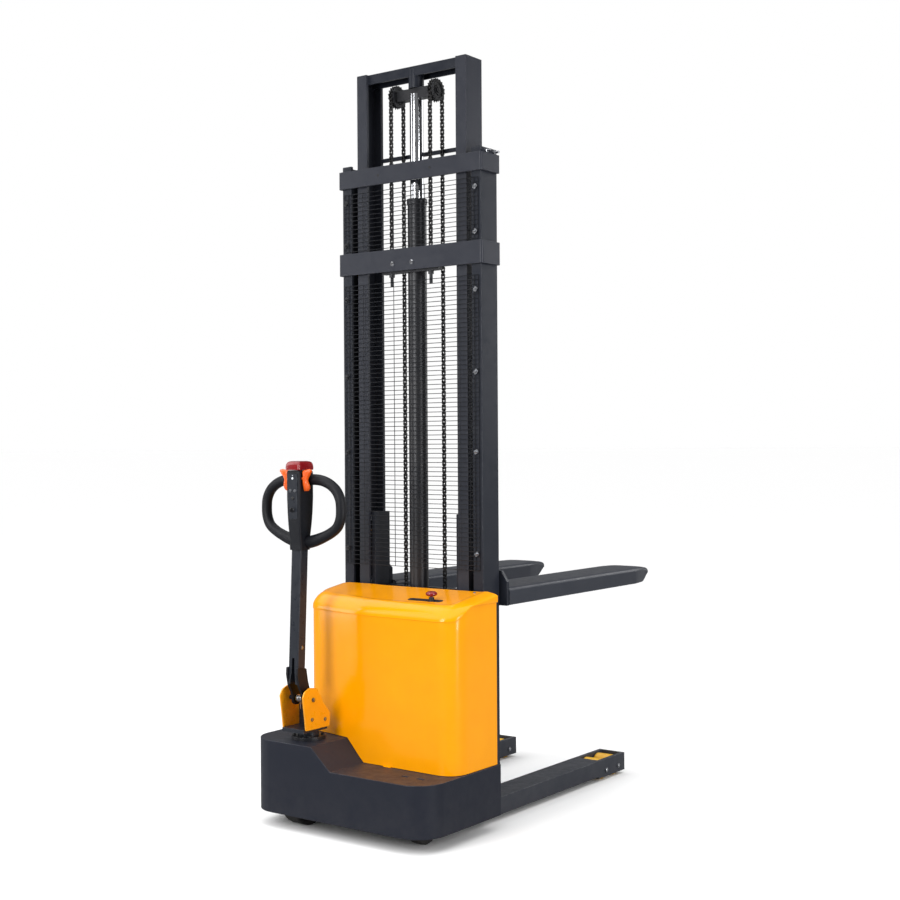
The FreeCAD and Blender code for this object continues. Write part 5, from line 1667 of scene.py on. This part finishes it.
    def buttons(self) -> None:
        """Belly button, lift, lower and horn buttons, and the key."""
        low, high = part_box("belly_button")
        top, foot = high.z / MM, high.z / MM - 24
        hem = foot - 7.6
        rings = [rounded_box((self.x - h, self.x + h), (76 - d, 76 + d), 9, z)
                 for z, h, d in ((foot, 20, 24), (foot - 0.4, 30, 36.4), (hem, 32.2, 38.6),
                                 (hem + 0.6, 33.6, 40), (foot + 2, 34, 40.4),
                                 (foot + 12, 33, 39), (top - 5, 30, 36), (top - 1.4, 25.5, 31),
                                 (top, 19, 25))]
        form = Form().loft(rings)
        form.lathe([(low.z / MM - foot, 6.9), (1, 6.9)], self.at(0, 78, foot), Vector((0, 0, 1)),
                   24)
        Bench.mount(form.object("belly_cap"), "red_moulding", "belly_button", ["belly_button"],
                    50, False)
        for node, finish in (("lift_button", "button_grey"), ("lower_button", "button_grey"),
                             ("horn_button", "gap_black")):
            low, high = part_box(node)
            centre = Vector(((low.x + high.x) / 2, high.y, (low.z + high.z) / 2))
            cap = [(0, 6.4), (6.2, 6.4), (7.4, 5.4), (7.9, 3.2), (8.0, 0.6)]
            form = Form().lathe(cap, centre, Vector((0, -1, 0)), 32)
            Bench.mount(form.object(node + "_cap"), finish, node, [node], 50, False)
        low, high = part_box("key_switch")
        centre = Vector(((low.x + high.x) / 2, high.y, (low.z + high.z) / 2))
        form = Form().lathe([(0, 7.9), (13, 7.9), (14.5, 7.2), (15, 5.6)], centre,
                            Vector((0, -1, 0)), 40)
        blade = rounded([(-8, 1), (8, 1), (8, -9), (4, -14), (-4, -14), (-8, -9)], 3, 4)
        outline = [centre + Vector((-1.4, -14.0 + b, a)) * MM for a, b in blade]
        form.prism(outline, Vector((2.8 * MM, 0, 0)))
        Bench.mount(form.bevel(0.3, 1, 50).object("key_and_barrel"), "black_steel", "key_switch",
                    ["key_switch"], 40, False)


# ------------------------------------------------------------------ fasteners


@dataclass
class Fasteners:
    """Every loose bolt and clip that the CAD node of fasteners stands for."""

    def build(self) -> None:
        """Make bolts and guard clips."""
        self.hexes()
        self.clips()
        self.axle_heads()

    def hexes(self) -> None:
        """Ring bolts, band bolts and the long stop bolts."""
        up, rear, side = Vector((0, 0, 1)), Vector((0, -1, 0)), Vector((1, 0, 0))
        ring, small = BoltHead(10.5, 5.4, 7.4, 1.4), BoltHead(13.0, 4.6, 9.0, 1.2)
        shape = ring.shape("ring_bolt")
        seats = [spot(-212 + 51 * math.cos(math.radians(45 + 90 * n)),
                      114 + 51 * math.sin(math.radians(45 + 90 * n)), 320) for n in range(4)]
        made = REPEATS.set(Repeat.ON_SEATS, "ring_bolts", seats, shape, "black_steel",
                           aims=[up] * 4)
        discard(shape)
        Bench.mount(made, "black_steel", "root", ["fasteners"], weighted=False)
        shape = small.shape("band_bolt")
        made = REPEATS.set(Repeat.ON_SEATS, "band_bolts",
                           [spot(x, 437, 2028) for x in (-72, 18)], shape, "chrome",
                           aims=[rear] * 2, seed=3)
        discard(shape)
        Bench.mount(made, "chrome", "root", weighted=False)
        shape = BoltHead(15.0, 8.0, 8.6, 1.4, 15.0).shape("stop_bolt")
        made = REPEATS.set(Repeat.ON_SEATS, "stop_bolts",
                           [spot(322, 479 + 50 * n, 2404) for n in range(2)], shape, "zinc",
                           aims=[side] * 2, seed=5)
        discard(shape)
        Bench.mount(made, "zinc", "root", weighted=False)

    def clips(self) -> None:
        """The saddle clips that hold the wire guards."""
        low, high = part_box("guard_lower")
        upper_low, upper_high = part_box("guard_upper")
        foot, top = low.z / MM, high.z / MM
        heights = [foot + 60, 1330, 1615, top - 52, upper_low.z / MM + 26, upper_high.z / MM - 34]
        saddle = Form()
        outline = rounded([(-9, -7), (9, -7), (9, 7), (-9, 7)], 3, 4)
        saddle.prism([Vector((x, z, 0)) * MM for x, z in outline], Vector((0, 0, 1.8 * MM)))
        up = Vector((0, 0, 1))
        saddle.lathe([(1.6, 4.6), (5.0, 4.6), (5.8, 3.6)], Vector((0, 0, 0)), up, 6)
        saddle.lathe([(5.6, 2.4), (11.0, 2.4), (11.6, 1.8)], Vector((0, 0, 0)), up, 10)
        saddle.lathe([(-5.0, 3.0), (0.4, 3.0)], Vector((0, 0, 0)), up, 10)
        shape = saddle.object("saddle_clip")
        for name, sign, finish in (("clips_right", 1, "zinc"), ("clips_left", -1, "black_steel")):
            seats = [spot(sign * 301, 441.6, z) for z in heights]
            made = REPEATS.set(Repeat.ON_SEATS, name, seats, shape, finish,
                               aims=[Vector((0, -1, 0))] * len(seats), seed=11)
            Bench.mount(made, finish, "root", weighted=False)
        discard(shape)

    def axle_heads(self) -> None:
        """Bolt heads on the load wheels' axles."""
        shape = BoltHead(13.0, 2.4, 9.4, 0.8).shape("axle_head")
        seats, aims = [], []
        for sign in (-1, 1):
            for face, out in ((327 + 2.6, 1), (209 - 2.6, -1)):
                for y in (1298, 1394):
                    seats.append(spot(sign * face, y, 40))
                    aims.append(Vector((sign * out, 0, 0)))
        made = REPEATS.set(Repeat.ON_SEATS, "axle_heads", seats, shape, "zinc", aims=aims)
        discard(shape)
        Bench.mount(made, "zinc", "root", weighted=False)


# ------------------------------------------------------------------ studio


@dataclass
class Studio:
    """A pale floor, soft lights and the camera."""

    camera_place: tuple[float, float, float] = (3.1844, -4.4708, 1.3544)
    yaw: float = 36.41
    pitch: float = -0.2
    roll: float = -0.35
    lens: float = 56.1
    floor_half: float = 400.0
    room_light: float = 0.20
    floor_bounce: float = 0.30
    floor_seen: float = 0.94
    floor_rough: float = 0.9
    floor_specular: float = 0.1
    ceiling_power: float = 2.9
    ceiling_spread: float = 100.0
    ceiling_turn: tuple[float, float] = (12.0, -10.0)
    aim_place: tuple[float, float, float] = (0.0, -0.3, 1.1)
    sensor: float = 36.0
    far_clip: float = 900.0

    def build(self) -> None:
        """Make the studio."""
        self.floor()
        self.lights()
        self.world()
        self.camera()

    def floor(self) -> None:
        """A wide pale floor."""
        half = self.floor_half
        data = bpy.data.meshes.new("studio_floor")
        data.from_pydata([(-half, -half, 0), (half, -half, 0), (half, half, 0), (-half, half, 0)],
                         [], [(0, 1, 2, 3)])
        floor = bpy.data.objects.new("studio_floor", data)
        bpy.context.scene.collection.objects.link(floor)
        pale = bpy.data.materials.new("pale_floor")
        pale.use_nodes = True
        shader = pale.node_tree.nodes["Principled BSDF"]
        seen = pale.node_tree.nodes.new("ShaderNodeLightPath")
        tone = pale.node_tree.nodes.new("ShaderNodeMapRange")
        tone.inputs["To Min"].default_value = self.floor_bounce
        tone.inputs["To Max"].default_value = self.floor_seen
        pale.node_tree.links.new(seen.outputs["Is Camera Ray"], tone.inputs["Value"])
        pale.node_tree.links.new(tone.outputs["Result"], shader.inputs["Base Color"])
        shader.inputs["Roughness"].default_value = self.floor_rough
        shader.inputs["Specular IOR Level"].default_value = self.floor_specular
        data.materials.append(pale)

    def lights(self) -> None:
        """A wide overhead light for the floor, and tall soft boxes round the machine."""
        for name, place, size, power in (
                ("left_box", (-3.4, -2.6, 1.9), (0.9, 3.4), 40.0),
                ("rear_box", (-0.4, -4.8, 2.3), (1.2, 2.6), 110.0),
                ("right_box", (4.4, -1.0, 1.8), (0.8, 3.2), 120.0),
                ("front_box", (1.6, 4.4, 2.6), (1.6, 2.6), 50.0)):
            data = bpy.data.lights.new(name, "AREA")
            data.shape = "RECTANGLE"
            data.size, data.size_y = size
            data.energy = power
            lamp = bpy.data.objects.new(name, data)
            bpy.context.scene.collection.objects.link(lamp)
            lamp.location = place
            aim = Vector(self.aim_place) - Vector(place)
            lamp.rotation_euler = aim.to_track_quat("-Z", "Y").to_euler()
        data = bpy.data.lights.new("ceiling", "SUN")
        data.energy = self.ceiling_power
        data.angle = math.radians(self.ceiling_spread)
        lamp = bpy.data.objects.new("ceiling", data)
        bpy.context.scene.collection.objects.link(lamp)
        lamp.rotation_euler = (*(math.radians(turn) for turn in self.ceiling_turn), 0)

    def world(self) -> None:
        """A white backdrop that lights the machine only dimly."""
        world = bpy.data.worlds.new("studio")
        world.use_nodes = True
        tree = world.node_tree
        backdrop = tree.nodes["Background"]
        backdrop.inputs["Color"].default_value = (1.0, 1.0, 1.0, 1.0)
        seen = tree.nodes.new("ShaderNodeLightPath")
        strength = tree.nodes.new("ShaderNodeMapRange")
        tree.links.new(seen.outputs["Is Camera Ray"], strength.inputs["Value"])
        strength.inputs["To Min"].default_value = self.room_light
        strength.inputs["To Max"].default_value = 1.0
        tree.links.new(strength.outputs["Result"], backdrop.inputs["Strength"])
        bpy.context.scene.world = world

    def camera(self) -> None:
        """The camera at the viewing place."""
        data = bpy.data.cameras.new("studio_camera")
        data.lens, data.sensor_width = self.lens, self.sensor
        data.clip_end = self.far_clip
        camera = bpy.data.objects.new("studio_camera", data)
        bpy.context.scene.collection.objects.link(camera)
        turn = (Matrix.Rotation(math.radians(self.yaw), 4, "Z")
                @ Matrix.Rotation(math.radians(90 + self.pitch), 4, "X")
                @ Matrix.Rotation(math.radians(self.roll), 4, "Z"))
        camera.matrix_world = Matrix.Translation(Vector(self.camera_place)) @ turn
        bpy.context.scene.camera = camera


def main() -> None:
    """Build the machine's pieces in order, then the studio."""
    logging.basicConfig(level=logging.INFO, format="%(name)s: %(message)s")
    bpy.context.scene.view_settings.view_transform = "Standard"
    for assembly in (Chassis(), Hood(), Mast(), LiftChain(), Forks(), Legs(), Running(),
                     Tiller(), Fasteners(), Studio()):
        log.info("building %s", type(assembly).__name__)
        assembly.build()


def write_sizes() -> None:
    """Refresh the view layer."""
    bpy.context.view_layer.update()


if __name__ == "__main__":
    main()
    write_sizes()
